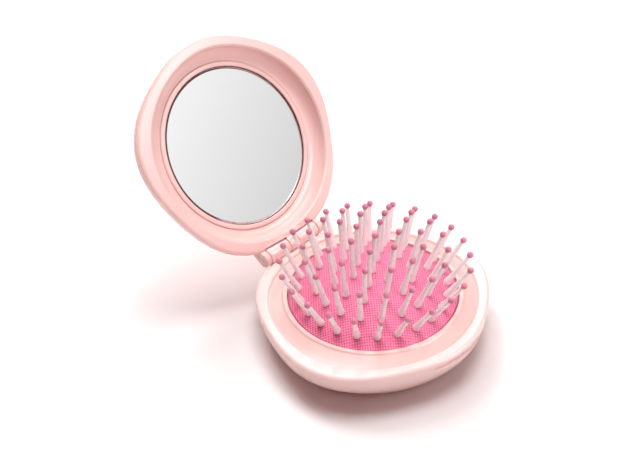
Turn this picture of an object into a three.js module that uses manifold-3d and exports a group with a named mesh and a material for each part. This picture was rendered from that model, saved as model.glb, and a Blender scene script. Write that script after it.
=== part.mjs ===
// Folding pop-up hairbrush with a mirror in its lid, in millimetres, Z up.
// The brush stands on its foot ring with the lid open, the hinge at +Y and the thumb scoop at -Y.
// Every height is measured from the floor with the pad popped up and the lid shut.
// The lid group then swings the lid open about the hinge pin.
import * as THREE from "three";
import { mergeVertices } from "three/addons/utils/BufferGeometryUtils.js";
import Module from "manifold-3d";

const wasm = await Module();
wasm.setup();

// Angles and counts
const TURN = Math.PI * 2;
const RIGHT_ANGLE = Math.PI / 2;
const LID_OPEN_ANGLE = (121.4 * Math.PI) / 180;
const KNUCKLE_ROOT_ANGLE = (40 * Math.PI) / 180;
const LOBES = 5;
const PEAR_LOBES = 3;
const CASE_SIDES = 40;
const RING_SIDES = 24;
const BORE_SIDES = 16;
const PIN_SIDES = 6;
const PIN_HOLE_SIDES = 4;
const KNUCKLE_STEPS = 12;
const SCOOP_STEPS = 12;
const OUTER_NODE_GAPS = 5;
const OUTER_ROW_NODES = 4;
const EXACT_DISTANCE = 0.0005;

// Outline of the case, the same for base and lid
const OUTLINE_RADIUS = 36.6;
const OVAL_SWELL = 0.6;
const PEAR_SWELL = 0.55;
const LOBE_SWELL = 0.77;
const ROUND_WIDTH = 8.1;
const OVAL_FULL_WIDTH = 1.6;
const LOBE_WIDTH = 5.1;

// Small gaps between neighbours
const SEAT_GAP = 0.05;
const FIT_GAP = 0.15;
const SLIDE_GAP = 0.3;
const STOP_GAP = 0.2;
const HINGE_GAP = 0.3;
const NOTCH_GAP = 0.35;

// Base shell
const RIM_HEIGHT = 12.8;
const RIM_ROUND = 1.3;
const BAND_ROUND = 0.5;
const BAND_WIDTH = 4;
const WALL_DRAW = 6.4;
const SHELL_WALL = 1.6;
const FLOOR_THICKNESS = 1.2;
const FLOOR_LEDGE = 1.2;
const GUIDE_WALL = 1.3;
const LEDGE_DROP = 2.2;
const LEDGE_WIDTH = 1;
const LEDGE_THICKNESS = 0.8;
const CAVITY_LIFT = 2.1;

// Thumb scoop in the front of the rim
const SCOOP_LENGTH = 20;
const SCOOP_RADIUS = 1.6;
const SCOOP_DROP = 3.4;
const SCOOP_DEPTH = 1.1;

// Deck with its dish and bead
const BEAD_WIDTH = 1.6;
const BEAD_RISE = 1.1;
const BEAD_ROUND = 0.45;
const DISH_WIDTH = 4.3;
const DISH_DROP = 1.05;

// Pad carrier, which slides in the guide tube
const PAD_DROP = 3.8;
const PAD_FLOOR_CLEARANCE = 0.3;
const PAD_WALL = 1.1;
const FLANGE_WIDTH = 1.7;
const FLANGE_THICKNESS = 0.8;
const PLATE_THICKNESS = 1;
const PLATE_CROWN = 0.25;
const PAD_LEDGE_WIDTH = 1.6;
const PAD_LEDGE_THICKNESS = 0.6;
const CLAMP_WALL = 0.8;
const CLAMP_HEIGHT = 1.2;

// Cushion
const CUSHION_RISE = 0.6;
const CUSHION_CROWN = 7.8;
const CUSHION_LIP = 0.9;
const CUSHION_SKIN = 0.8;
const CUSHION_SKIRT = 0.6;
const CUSHION_EDGE_ROUND = 0.4;

// Pins: how far the ball of each row stands above the edge of the cushion
const ROW_BALL_RISES = [21.8, 21.48, 19.93, 17.28, 13.54];
const ROW_PINS = [1, 6, 12, 18, 24];
const BALL_RADIUS = 1;
const PIN_TIP_RADIUS = 0.62;
const PIN_FOOT_RADIUS = 1.15;
const PIN_FOOT_HEIGHT = 0.7;
const PIN_NECK_RADIUS = 0.6;
const PIN_HOLE_RADIUS = 0.95;
const BARB_RADIUS = 1.15;
const BARB_HEIGHT = 0.45;
const WEB_WIDTH = 0.9;
const WEB_THICKNESS = 0.4;
const WEB_DROP = 1.2;

// Hinge
const HINGE_REACH = 4.06;
const HINGE_RISE = 1.4;
const KNUCKLE_RADIUS = 2.7;
const CENTRE_KNUCKLE_END = 1.9;
const BASE_KNUCKLE_START = 2.1;
const BASE_KNUCKLE_END = 10.7;
const EAR_START = 11;
const EAR_END = 13;
const ROOT_DROP = 4.6;
const ROOT_INSET = 3.8;
const PIN_HOLE_GAP = 0.1;
const HINGE_PIN_RADIUS = 0.75;

// Lid shell
const LID_GAP = 0.3;
const LID_DEPTH = 11;
const LID_CROWN = 0.4;
const LID_TOP_THICKNESS = 1.4;
const LID_BAND_THICKNESS = 1.5;
const BOSS_INSET = 2.8;
const BOSS_WALL = 1.4;

// Lid liner with its channel, and what sits in it
const MIRROR_RISE = 4.1;
const MIRROR_THICKNESS = 1.3;
const MIRROR_BEVEL = 0.5;
const MIRROR_LAP = 0.3;
const TAPE_INSET = 1.8;
const TAPE_THICKNESS = 0.4;
const CHANNEL_WIDTH = 4.6;
const BEZEL_WIDTH = 1.5;
const BEZEL_PROUD = 0.65;
const BEZEL_ROUND = 0.35;
const LINER_WALL = 1.1;
const LINER_LIP = 0.25;
const LINER_LIP_DEPTH = 0.9;
const CHANNEL_STEP = 0.35;
const SNAP_BEAD = 0.5;
const SNAP_BEAD_HEIGHT = 1.4;

// Shares of a length
const HALF_SHARE = 0.5;
const QUARTER_SHARE = 0.25;
const WALL_SHARES = [0, 0.12, 0.26, 0.44, 0.68, 1];
const LINING_SHARES = [0.82, 0.55, 0.2];
const DOME_SHARES = [0.35, 0.57, 0.78];
const DISH_SHARES = [0, 0.35, 0.7, 1];
const CHANNEL_SHARES = [0, 0.2, 0.4, 0.6, 0.8, 1];
const BALL_UPPER_SHARE = 0.7;
const BALL_NECK_SHARE = 0.75;

// Radius of each row of pins at the foot and at the ball, as shares of the bore
const ROW_FOOT_SHARES = [0, 0.2285, 0.4494, 0.661, 0.8502];
const ROW_BALL_SHARES = [0, 0.2816, 0.5442, 0.8213, 1.0899];

// Radii that follow from the outline, from the rim inwards
const ROUND_RADIUS = OUTLINE_RADIUS - ROUND_WIDTH;
const OVAL_FULL_RADIUS = OUTLINE_RADIUS - OVAL_FULL_WIDTH;
const LOBE_START_RADIUS = OUTLINE_RADIUS - LOBE_WIDTH;
const BAND_INNER_RADIUS = OUTLINE_RADIUS - BAND_WIDTH;
const BEAD_OUTER_RADIUS = BAND_INNER_RADIUS - DISH_WIDTH;
const BORE_RADIUS = BEAD_OUTER_RADIUS - BEAD_WIDTH;
const GUIDE_RADIUS = BORE_RADIUS + FLANGE_WIDTH;
const HAND_HOLE_RADIUS = GUIDE_RADIUS - FLOOR_LEDGE;
const ROW_FOOT_RADII = ROW_FOOT_SHARES.map((share) => BORE_RADIUS * share);
const ROW_BALL_RADII = ROW_BALL_SHARES.map((share) => BORE_RADIUS * share);
const BEZEL_OUTER_RADIUS = BAND_INNER_RADIUS - CHANNEL_WIDTH;
const BEZEL_INNER_RADIUS = BEZEL_OUTER_RADIUS - BEZEL_WIDTH;
const MIRROR_RADIUS = BEZEL_INNER_RADIUS + MIRROR_LAP;
const TAPE_RADIUS = MIRROR_RADIUS - TAPE_INSET;
const BOSS_RADIUS = MIRROR_RADIUS - BOSS_INSET;

// Sizes that follow from the ones above
const WALL_TOP = RIM_HEIGHT - RIM_ROUND;
const LEDGE_HEIGHT = RIM_HEIGHT - LEDGE_DROP;
const PAD_TRAVEL = RIM_HEIGHT - PAD_DROP;
const FLANGE_BOTTOM = FLOOR_THICKNESS + SEAT_GAP + PAD_TRAVEL;
const FLANGE_TOP = FLANGE_BOTTOM + FLANGE_THICKNESS;
const STOP_HEIGHT = FLANGE_TOP + STOP_GAP;
const GUIDE_TOP = STOP_HEIGHT - SEAT_GAP;
const PAD_RADIUS = BORE_RADIUS - SLIDE_GAP;
const PAD_INNER_RADIUS = PAD_RADIUS - PAD_WALL;
const PAD_BOTTOM = PAD_FLOOR_CLEARANCE + PAD_TRAVEL;
const PLATE_TOP = PAD_BOTTOM + PLATE_THICKNESS;
const PAD_LEDGE_BOTTOM = PLATE_TOP + SEAT_GAP;
const PAD_LEDGE_TOP = PAD_LEDGE_BOTTOM + PAD_LEDGE_THICKNESS;
const CUSHION_RADIUS = PAD_RADIUS - SEAT_GAP;
const CUSHION_EDGE_HEIGHT = RIM_HEIGHT + CUSHION_RISE;
const CUSHION_LIP_BOTTOM = CUSHION_EDGE_HEIGHT - CUSHION_LIP;
const DOME_RADIUS = CUSHION_RADIUS - CUSHION_EDGE_ROUND;
const DOME_SPHERE = (DOME_RADIUS ** 2 + CUSHION_CROWN ** 2) / (CUSHION_CROWN + CUSHION_CROWN);
const SKIRT_RADIUS = PAD_INNER_RADIUS - SEAT_GAP;
const CLAMP_RADIUS = SKIRT_RADIUS - CUSHION_SKIRT - SEAT_GAP;
const HINGE_Y = BAND_INNER_RADIUS + HINGE_REACH;
const HINGE_Z = RIM_HEIGHT + HINGE_RISE;
const LID_MOUTH = RIM_HEIGHT + LID_GAP;
const LID_TOP = LID_MOUTH + LID_DEPTH;
const LID_CEILING = LID_TOP - LID_TOP_THICKNESS;
const MIRROR_FACE = HINGE_Z + MIRROR_RISE;
const MIRROR_BACK = MIRROR_FACE + MIRROR_THICKNESS;
const TAPE_BACK = MIRROR_BACK + SEAT_GAP + TAPE_THICKNESS;
const LINER_SEAT = TAPE_BACK + SEAT_GAP;
const LINER_BACK = LINER_SEAT + LINER_WALL;
const POCKET_RADIUS = MIRROR_RADIUS + FIT_GAP;

// Colours, with roughness and metalness
function casePlastic() {
  return new THREE.MeshStandardMaterial({ color: 0xf6cdca, roughness: 0.38, metalness: 0 });
}

function hiddenPlastic() {
  return new THREE.MeshStandardMaterial({ color: 0xefb9b6, roughness: 0.5, metalness: 0 });
}

function cushionFabric() {
  return new THREE.MeshStandardMaterial({ color: 0xee6f9f, roughness: 0.85, metalness: 0 });
}

function pinNylon() {
  return new THREE.MeshStandardMaterial({ color: 0xf0dfe0, roughness: 0.35, metalness: 0 });
}

function mirrorGlass() {
  return new THREE.MeshStandardMaterial({ color: 0xd9dbdb, roughness: 0.03, metalness: 1 });
}

function hingeSteel() {
  return new THREE.MeshStandardMaterial({ color: 0xb8b8b6, roughness: 0.3, metalness: 1 });
}

function foamTape() {
  return new THREE.MeshStandardMaterial({ color: 0xf2f2f0, roughness: 0.9, metalness: 0 });
}

// Closed solid from a geometry: corners that meet become one and empty triangles go
function solidOf(geometry) {
  const bare = new THREE.BufferGeometry();
  bare.setAttribute("position", geometry.getAttribute("position"));
  bare.setIndex(geometry.getIndex());
  const merged = mergeVertices(bare, EXACT_DISTANCE);
  const index = merged.getIndex().array;
  const corners = [];
  for (let i = 0; i < index.length; i += 3) {
    const [a, b, c] = [index[i], index[i + 1], index[i + 2]];
    if (a !== b && b !== c && c !== a) corners.push(a, b, c);
  }
  const vertProperties = merged.getAttribute("position").array;
  const triVerts = new Uint32Array(corners);
  return new wasm.Manifold(new wasm.Mesh({ numProp: 3, vertProperties, triVerts }));
}

function geometryOf(solid) {
  const surface = solid.getMesh();
  const geometry = new THREE.BufferGeometry();
  geometry.setAttribute("position", new THREE.BufferAttribute(surface.vertProperties, 3));
  geometry.setIndex(new THREE.BufferAttribute(surface.triVerts, 1));
  geometry.computeVertexNormals();
  return geometry;
}

function mesh(name, solid, material) {
  const made = new THREE.Mesh(geometryOf(solid), material);
  made.name = name;
  return made;
}

function at(radius, height) {
  return new THREE.Vector2(radius, height);
}

// Three points along a soft curve that replaces a corner
function softened(start, corner, end) {
  const middle = start.clone().add(end).multiplyScalar(QUARTER_SHARE);
  return [start, middle.addScaledVector(corner, HALF_SHARE), end];
}

// Body turned about the Z axis; the profile closes on itself unless both ends are on the axis
function turned(profile, sides) {
  const points = [...profile];
  const first = points[0];
  if (first.x > 0) points.push(first.clone());
  return new THREE.LatheGeometry(points, sides).rotateX(RIGHT_ANGLE);
}

// Ring or disc of the pad, turned half a side so that the pins stand on the flats
function turnedRing(profile) {
  return solidOf(turned(profile, RING_SIDES).rotateZ((TURN * HALF_SHARE) / RING_SIDES));
}

function ramp(value, start, end) {
  return Math.min(Math.max((value - start) / (end - start), 0), 1);
}

// Soft oval, pear and lobes of the case, which fade to a true circle towards the pad
function swell(radius, angle) {
  const front = angle + RIGHT_ANGLE;
  const oval = OVAL_SWELL * Math.cos(2 * angle) * ramp(radius, ROUND_RADIUS, OVAL_FULL_RADIUS);
  const lobe = LOBE_SWELL * Math.cos(LOBES * front) - PEAR_SWELL * Math.cos(PEAR_LOBES * front);
  return oval + lobe * ramp(radius, LOBE_START_RADIUS, OUTLINE_RADIUS);
}

function turnedCase(profile) {
  const geometry = turned(profile, CASE_SIDES);
  const position = geometry.getAttribute("position");
  for (let i = 0; i < position.count; i += 1) {
    const [x, y] = [position.getX(i), position.getY(i)];
    const radius = Math.hypot(x, y);
    const angle = Math.atan2(y, x);
    const wide = radius + swell(radius, angle);
    position.setXY(i, wide * Math.cos(angle), wide * Math.sin(angle));
  }
  return solidOf(geometry);
}

// Outside of a bowl from its foot to its rim, and the lining one wall thickness inside it
function bowlPoint(foot, rim, share) {
  return at(OUTLINE_RADIUS - WALL_DRAW * (1 - share) ** 2, foot + (rim - foot) * share);
}

function bowlWall(foot, rim) {
  return WALL_SHARES.map((share) => bowlPoint(foot, rim, share));
}

function bowlLining(foot, rim) {
  const inward = Math.sign(rim - foot) * SHELL_WALL;
  return LINING_SHARES.map((share) => {
    const outside = bowlPoint(foot, rim, share);
    return at(outside.x - SHELL_WALL, outside.y + inward * (1 - share));
  });
}

function cylinderAlongX(radius, start, end, sides) {
  const geometry = new THREE.CylinderGeometry(radius, radius, end - start, sides);
  geometry.rotateZ(RIGHT_ANGLE).rotateX(RIGHT_ANGLE / sides);
  geometry.translate((start + end) * HALF_SHARE, HINGE_Y, HINGE_Z);
  return solidOf(geometry);
}

// Hinge knuckle along X whose root runs down into the base wall, or up into the lid wall
function knuckle(start, end, up) {
  const outline = new THREE.Shape();
  const from = -KNUCKLE_ROOT_ANGLE;
  const to = Math.PI + KNUCKLE_ROOT_ANGLE;
  for (let i = 0; i <= KNUCKLE_STEPS; i += 1) {
    const angle = from + ((to - from) * i) / KNUCKLE_STEPS;
    const [y, z] = [KNUCKLE_RADIUS * Math.cos(angle), -up * KNUCKLE_RADIUS * Math.sin(angle)];
    if (i === 0) outline.moveTo(y, z);
    else outline.lineTo(y, z);
  }
  outline.lineTo(-ROOT_INSET, up * ROOT_DROP * HALF_SHARE);
  outline.lineTo(-ROOT_INSET, up * ROOT_DROP);
  outline.closePath();
  const geometry = new THREE.ExtrudeGeometry(outline, { depth: end - start, bevelEnabled: false });
  geometry.rotateX(RIGHT_ANGLE).rotateZ(RIGHT_ANGLE);
  geometry.translate(start, HINGE_Y, HINGE_Z);
  return solidOf(geometry);
}

function hingeNotch(start, end) {
  return cylinderAlongX(KNUCKLE_RADIUS + NOTCH_GAP, start, end, BORE_SIDES);
}

function hingeBore() {
  const reach = EAR_END + HINGE_GAP;
  return cylinderAlongX(HINGE_PIN_RADIUS + PIN_HOLE_GAP, -reach, reach, BORE_SIDES);
}

// Base shell
function baseShellProfile() {
  const cavityFoot = FLOOR_THICKNESS + CAVITY_LIFT;
  const guideOuter = GUIDE_RADIUS + GUIDE_WALL;
  const ledgeRadius = BAND_INNER_RADIUS - LEDGE_WIDTH;
  const rimOuter = at(OUTLINE_RADIUS, RIM_HEIGHT);
  const bandInner = at(BAND_INNER_RADIUS, RIM_HEIGHT);
  return [
    at(HAND_HOLE_RADIUS, 0),
    ...bowlWall(0, WALL_TOP).slice(0, -1),
    ...softened(at(OUTLINE_RADIUS, WALL_TOP), rimOuter, at(OUTLINE_RADIUS - RIM_ROUND, RIM_HEIGHT)),
    at(BAND_INNER_RADIUS + BAND_ROUND, RIM_HEIGHT),
    at(BAND_INNER_RADIUS, bandInner.y - BAND_ROUND),
    at(BAND_INNER_RADIUS, LEDGE_HEIGHT),
    at(ledgeRadius, LEDGE_HEIGHT),
    at(ledgeRadius, LEDGE_HEIGHT - LEDGE_THICKNESS),
    ...bowlLining(0, WALL_TOP),
    at(guideOuter, cavityFoot),
    at(guideOuter, GUIDE_TOP),
    at(GUIDE_RADIUS, GUIDE_TOP),
    at(GUIDE_RADIUS, FLOOR_THICKNESS),
    at(HAND_HOLE_RADIUS, FLOOR_THICKNESS),
  ];
}

function thumbScoop() {
  const profile = [];
  for (let i = 0; i <= SCOOP_STEPS; i += 1) {
    const angle = (Math.PI * i) / SCOOP_STEPS;
    const along = -Math.cos(angle) * SCOOP_LENGTH * HALF_SHARE;
    profile.push(at(i % SCOOP_STEPS ? SCOOP_RADIUS * Math.sin(angle) : 0, along));
  }
  const geometry = turned(profile, SCOOP_STEPS).rotateY(RIGHT_ANGLE);
  const front = OUTLINE_RADIUS + swell(OUTLINE_RADIUS, -RIGHT_ANGLE);
  geometry.translate(0, -(front + SCOOP_RADIUS - SCOOP_DEPTH), RIM_HEIGHT - SCOOP_DROP);
  return solidOf(geometry);
}

function baseShell() {
  const edge = EAR_START - FIT_GAP;
  let solid = turnedCase(baseShellProfile());
  solid = solid.subtract(hingeNotch(-CENTRE_KNUCKLE_END - FIT_GAP, CENTRE_KNUCKLE_END + FIT_GAP));
  solid = solid.subtract(hingeNotch(edge, EAR_END + NOTCH_GAP));
  solid = solid.subtract(hingeNotch(-EAR_END - NOTCH_GAP, -edge));
  solid = solid.add(knuckle(BASE_KNUCKLE_START, BASE_KNUCKLE_END, -1));
  solid = solid.add(knuckle(-BASE_KNUCKLE_END, -BASE_KNUCKLE_START, -1));
  solid = solid.subtract(hingeBore());
  solid = solid.subtract(thumbScoop());
  return mesh("base_shell", solid, casePlastic());
}

// Deck: bore, rolled bead around it and the conical dish down to the rim band
function baseDeck() {
  const edgeRadius = BAND_INNER_RADIUS - FIT_GAP;
  const beadTop = RIM_HEIGHT + BEAD_RISE;
  const beadOuter = BEAD_OUTER_RADIUS;
  const dishTop = beadTop - BEAD_ROUND;
  const dishFloor = RIM_HEIGHT - DISH_DROP;
  const dish = DISH_SHARES.map((share) => {
    const radius = beadOuter + (edgeRadius - beadOuter) * share;
    return at(radius, dishTop + (dishFloor - dishTop) * share);
  });
  const crest = (BORE_RADIUS + beadOuter) * HALF_SHARE;
  const guideOuter = GUIDE_RADIUS + GUIDE_WALL + FIT_GAP;
  const profile = [
    at(BORE_RADIUS, STOP_HEIGHT),
    at(guideOuter, STOP_HEIGHT),
    at(edgeRadius - LEDGE_WIDTH, LEDGE_HEIGHT + SEAT_GAP),
    at(edgeRadius, LEDGE_HEIGHT + SEAT_GAP),
    ...dish.reverse(),
    ...softened(at(beadOuter, dishTop), at(beadOuter, beadTop), at(crest, beadTop)).slice(1),
    ...softened(at(crest, beadTop), at(BORE_RADIUS, beadTop), at(BORE_RADIUS, dishTop)).slice(1),
  ];
  return mesh("base_deck", turnedCase(profile), casePlastic());
}

function hingePin() {
  const solid = cylinderAlongX(HINGE_PIN_RADIUS, -EAR_END, EAR_END, BORE_SIDES);
  return mesh("hinge_pin", solid, hingeSteel());
}

// Round plate under the pad that a finger pushes to pop the pins up
function pushPlate() {
  const radius = PAD_INNER_RADIUS - FIT_GAP;
  const middle = radius * HALF_SHARE;
  const profile = [
    at(0, PAD_BOTTOM + PLATE_CROWN),
    at(middle, PAD_BOTTOM + PLATE_CROWN),
    at(radius, PAD_BOTTOM),
    at(radius, PLATE_TOP),
    at(0, PLATE_TOP),
  ];
  return mesh("push_plate", turnedRing(profile), hiddenPlastic());
}

function padRing() {
  const flangeRadius = GUIDE_RADIUS - SLIDE_GAP;
  const ledgeRadius = PAD_INNER_RADIUS - PAD_LEDGE_WIDTH;
  const top = CUSHION_LIP_BOTTOM - SEAT_GAP;
  const profile = [
    at(PAD_INNER_RADIUS, PAD_BOTTOM),
    at(PAD_RADIUS, PAD_BOTTOM),
    at(PAD_RADIUS, FLANGE_BOTTOM),
    at(flangeRadius, FLANGE_BOTTOM),
    at(flangeRadius, FLANGE_TOP),
    at(PAD_RADIUS, FLANGE_TOP),
    at(PAD_RADIUS, top),
    at(PAD_INNER_RADIUS, top),
    at(PAD_INNER_RADIUS, PAD_LEDGE_TOP),
    at(ledgeRadius, PAD_LEDGE_TOP),
    at(ledgeRadius, PAD_LEDGE_BOTTOM),
    at(PAD_INNER_RADIUS, PAD_LEDGE_BOTTOM),
  ];
  return mesh("pad_ring", turnedRing(profile), hiddenPlastic());
}

function clampRing() {
  const bottom = PAD_LEDGE_TOP + SEAT_GAP;
  const profile = [
    at(CLAMP_RADIUS - CLAMP_WALL, bottom),
    at(CLAMP_RADIUS, bottom),
    at(CLAMP_RADIUS, bottom + CLAMP_HEIGHT),
    at(CLAMP_RADIUS - CLAMP_WALL, bottom + CLAMP_HEIGHT),
  ];
  return mesh("clamp_ring", turnedRing(profile), hiddenPlastic());
}

// Height of the crowned face of the cushion at a radius
function domeHeight(radius) {
  const middle = CUSHION_EDGE_HEIGHT + CUSHION_CROWN - DOME_SPHERE;
  return middle + Math.sqrt(DOME_SPHERE ** 2 - radius ** 2);
}

function cushionProfile() {
  const face = [0, ...DOME_SHARES, 1].map((share) => {
    return at(DOME_RADIUS * share, domeHeight(DOME_RADIUS * share));
  });
  const under = [0, ...DOME_SHARES].map((share) => {
    return at(DOME_RADIUS * share, domeHeight(DOME_RADIUS * share) - CUSHION_SKIN);
  });
  const skirtInner = SKIRT_RADIUS - CUSHION_SKIRT;
  const skirtBottom = PAD_LEDGE_TOP + SEAT_GAP;
  return [
    ...under,
    at(skirtInner, domeHeight(skirtInner) - CUSHION_SKIN),
    at(skirtInner, skirtBottom),
    at(SKIRT_RADIUS, skirtBottom),
    at(SKIRT_RADIUS, CUSHION_LIP_BOTTOM),
    at(CUSHION_RADIUS, CUSHION_LIP_BOTTOM),
    ...face.reverse(),
  ];
}

// Where a pin of a row stands: foot on the cushion, ball above it
function pinPlace(row, turn) {
  const angle = RIGHT_ANGLE + turn;
  const [across, along] = [Math.cos(angle), Math.sin(angle)];
  const [foot, ball] = [ROW_FOOT_RADII[row], ROW_BALL_RADII[row]];
  const start = new THREE.Vector3(foot * across, foot * along, domeHeight(foot));
  const height = CUSHION_EDGE_HEIGHT + ROW_BALL_RISES[row];
  const end = new THREE.Vector3(ball * across, ball * along, height);
  return { start, end, angle };
}

// Geometry along Z moved so that its origin is at the foot and it points to the ball
function stood(geometry, place) {
  const direction = place.end.clone().sub(place.start).normalize();
  const lean = new THREE.Quaternion().setFromUnitVectors(new THREE.Vector3(0, 0, 1), direction);
  return geometry.rotateZ(place.angle).applyQuaternion(lean).translate(...place.start.toArray());
}

function pinSolid(row, turn) {
  const place = pinPlace(row, turn);
  const length = place.end.distanceTo(place.start);
  const neckStart = -CUSHION_SKIN - SLIDE_GAP;
  const profile = [
    at(0, neckStart - BARB_HEIGHT),
    at(BARB_RADIUS, neckStart),
    at(PIN_NECK_RADIUS, neckStart),
    at(PIN_NECK_RADIUS, SEAT_GAP),
    at(PIN_FOOT_RADIUS, PIN_FOOT_HEIGHT),
    at(PIN_TIP_RADIUS, length - BALL_RADIUS * BALL_NECK_SHARE),
    at(BALL_RADIUS, length),
    at(BALL_RADIUS * BALL_UPPER_SHARE, length + BALL_RADIUS * BALL_UPPER_SHARE),
    at(0, length + BALL_RADIUS),
  ];
  return solidOf(stood(turned(profile, PIN_SIDES), place));
}

function pinHole(row, turn) {
  const place = pinPlace(row, turn);
  const reach = CUSHION_SKIN + CUSHION_SKIN;
  const profile = [at(0, -reach), at(PIN_HOLE_RADIUS, -reach), at(PIN_HOLE_RADIUS, reach), at(0, reach)];
  const hole = turned(profile, PIN_HOLE_SIDES).rotateZ(RIGHT_ANGLE * HALF_SHARE);
  return solidOf(stood(hole, place));
}

function pinTurns(row) {
  return Array.from({ length: ROW_PINS[row] }, (_, i) => (TURN * i) / ROW_PINS[row]);
}

function cushion() {
  let solid = turnedRing(cushionProfile());
  for (let row = 0; row < ROW_PINS.length; row += 1) {
    for (const turn of pinTurns(row)) solid = solid.subtract(pinHole(row, turn));
  }
  return mesh("cushion", solid, cushionFabric());
}

// Single pins of one row
function pinsOfRow(row) {
  return pinTurns(row).map((turn, i) => {
    const name = row ? `pin_row${row}_${i + 1}` : "pin_centre";
    return mesh(name, pinSolid(row, turn), pinNylon());
  });
}

// Thin arc under the cushion that joins the barbs of the outer row
function pinWeb(row, from, to) {
  const place = pinPlace(row, 0);
  const lean = Math.atan2(ROW_BALL_RADII[row] - ROW_FOOT_RADII[row], place.end.z - place.start.z);
  const middle = ROW_FOOT_RADII[row] - WEB_DROP * Math.sin(lean);
  const shape = new THREE.Shape();
  shape.absarc(0, 0, middle + WEB_WIDTH * HALF_SHARE, RIGHT_ANGLE + from, RIGHT_ANGLE + to, false);
  shape.absarc(0, 0, middle - WEB_WIDTH * HALF_SHARE, RIGHT_ANGLE + to, RIGHT_ANGLE + from, true);
  const options = { depth: WEB_THICKNESS, bevelEnabled: false, curveSegments: OUTER_NODE_GAPS };
  const geometry = new THREE.ExtrudeGeometry(shape, options);
  const height = place.start.z - WEB_DROP * Math.cos(lean) - WEB_THICKNESS;
  return solidOf(geometry.translate(0, 0, height));
}

// Outer row, a few pins to a node
function outerPins(row) {
  const turns = pinTurns(row);
  const each = turns.length / OUTER_ROW_NODES;
  return Array.from({ length: OUTER_ROW_NODES }, (_, node) => {
    const mine = turns.slice(node * each, (node + 1) * each);
    let solid = pinWeb(row, mine[0], mine[each - 1]);
    for (const turn of mine) solid = solid.add(pinSolid(row, turn));
    return mesh(`pins_row${row}_${node + 1}`, solid, pinNylon());
  });
}

// Lid shell
function lidShellProfile() {
  const rim = LID_MOUTH + RIM_ROUND;
  const bandBack = LID_MOUTH + LID_BAND_THICKNESS;
  const flat = OUTLINE_RADIUS - WALL_DRAW;
  const rimOuter = at(OUTLINE_RADIUS, LID_MOUTH);
  const bossTop = LINER_BACK + SEAT_GAP;
  return [
    at(0, LID_CEILING + LID_CROWN),
    at(BOSS_RADIUS, LID_CEILING),
    at(BOSS_RADIUS, bossTop),
    at(BOSS_RADIUS + BOSS_WALL, bossTop),
    at(BOSS_RADIUS + BOSS_WALL, LID_CEILING),
    ...bowlLining(LID_TOP, rim).reverse(),
    at(BAND_INNER_RADIUS, bandBack),
    at(BAND_INNER_RADIUS, LID_MOUTH + BAND_ROUND),
    at(BAND_INNER_RADIUS + BAND_ROUND, LID_MOUTH),
    ...softened(at(OUTLINE_RADIUS - RIM_ROUND, LID_MOUTH), rimOuter, at(OUTLINE_RADIUS, rim)),
    ...bowlWall(LID_TOP, rim).slice(1, -1).reverse(),
    at(flat, LID_TOP),
    at(flat * HALF_SHARE, LID_TOP + LID_CROWN),
    at(0, LID_TOP + LID_CROWN),
  ];
}

function lidShell() {
  const centre = CENTRE_KNUCKLE_END;
  const baseEnd = BASE_KNUCKLE_END + FIT_GAP;
  let solid = turnedCase(lidShellProfile());
  solid = solid.subtract(hingeNotch(centre, baseEnd));
  solid = solid.subtract(hingeNotch(-baseEnd, -centre));
  solid = solid.add(knuckle(-centre, centre, 1));
  solid = solid.add(knuckle(EAR_START, EAR_END, 1));
  solid = solid.add(knuckle(-EAR_END, -EAR_START, 1));
  solid = solid.subtract(hingeBore());
  return mesh("lid_shell", solid, casePlastic());
}

// Liner: flat seat of the mirror, shelf of the bezel, then the channel, flat near the bezel and steep at the mouth
function lidLiner() {
  const shelf = MIRROR_FACE + SEAT_GAP;
  const shelfEnd = BEZEL_OUTER_RADIUS + SLIDE_GAP;
  const mouthRadius = BAND_INNER_RADIUS - FIT_GAP;
  const lip = LID_MOUTH + LINER_LIP_DEPTH;
  const channel = CHANNEL_SHARES.map((share) => {
    const radius = shelfEnd + (mouthRadius - LINER_LIP - shelfEnd) * (1 - (1 - share) ** 2);
    const deep = shelf - CHANNEL_STEP;
    return at(radius, deep + (lip - deep) * share ** 2);
  });
  const beadBottom = LID_MOUTH + LID_BAND_THICKNESS + FIT_GAP;
  const beadRadius = mouthRadius + SNAP_BEAD;
  const channelBack = shelf + LINER_WALL;
  const profile = [
    at(0, LINER_SEAT),
    at(POCKET_RADIUS, LINER_SEAT),
    at(POCKET_RADIUS, shelf),
    at(shelfEnd, shelf),
    ...channel,
    at(mouthRadius, lip),
    at(mouthRadius, beadBottom),
    at(beadRadius, beadBottom + SNAP_BEAD),
    at(beadRadius, beadBottom + SNAP_BEAD_HEIGHT),
    at(mouthRadius - LINER_WALL - LINER_WALL, channelBack),
    at(shelfEnd + LINER_WALL, channelBack),
    at(shelfEnd, LINER_BACK),
    at(0, LINER_BACK),
  ];
  return mesh("lid_liner", turnedCase(profile), casePlastic());
}

function mirrorBezel() {
  const back = MIRROR_FACE - SEAT_GAP;
  const front = back - BEZEL_PROUD;
  const outer = BEZEL_OUTER_RADIUS;
  const profile = [
    at(BEZEL_INNER_RADIUS, back),
    at(BEZEL_INNER_RADIUS, front + BEZEL_ROUND),
    at(BEZEL_INNER_RADIUS + BEZEL_ROUND, front),
    at(outer - BEZEL_ROUND, front),
    at(outer, front + BEZEL_ROUND),
    at(outer, back),
  ];
  return mesh("mirror_bezel", solidOf(turned(profile, CASE_SIDES)), casePlastic());
}

function mirror() {
  const profile = [
    at(0, MIRROR_FACE),
    at(MIRROR_RADIUS - MIRROR_BEVEL, MIRROR_FACE),
    at(MIRROR_RADIUS, MIRROR_FACE + MIRROR_BEVEL),
    at(MIRROR_RADIUS, MIRROR_BACK),
    at(0, MIRROR_BACK),
  ];
  return mesh("mirror", solidOf(turned(profile, CASE_SIDES)), mirrorGlass());
}

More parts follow.
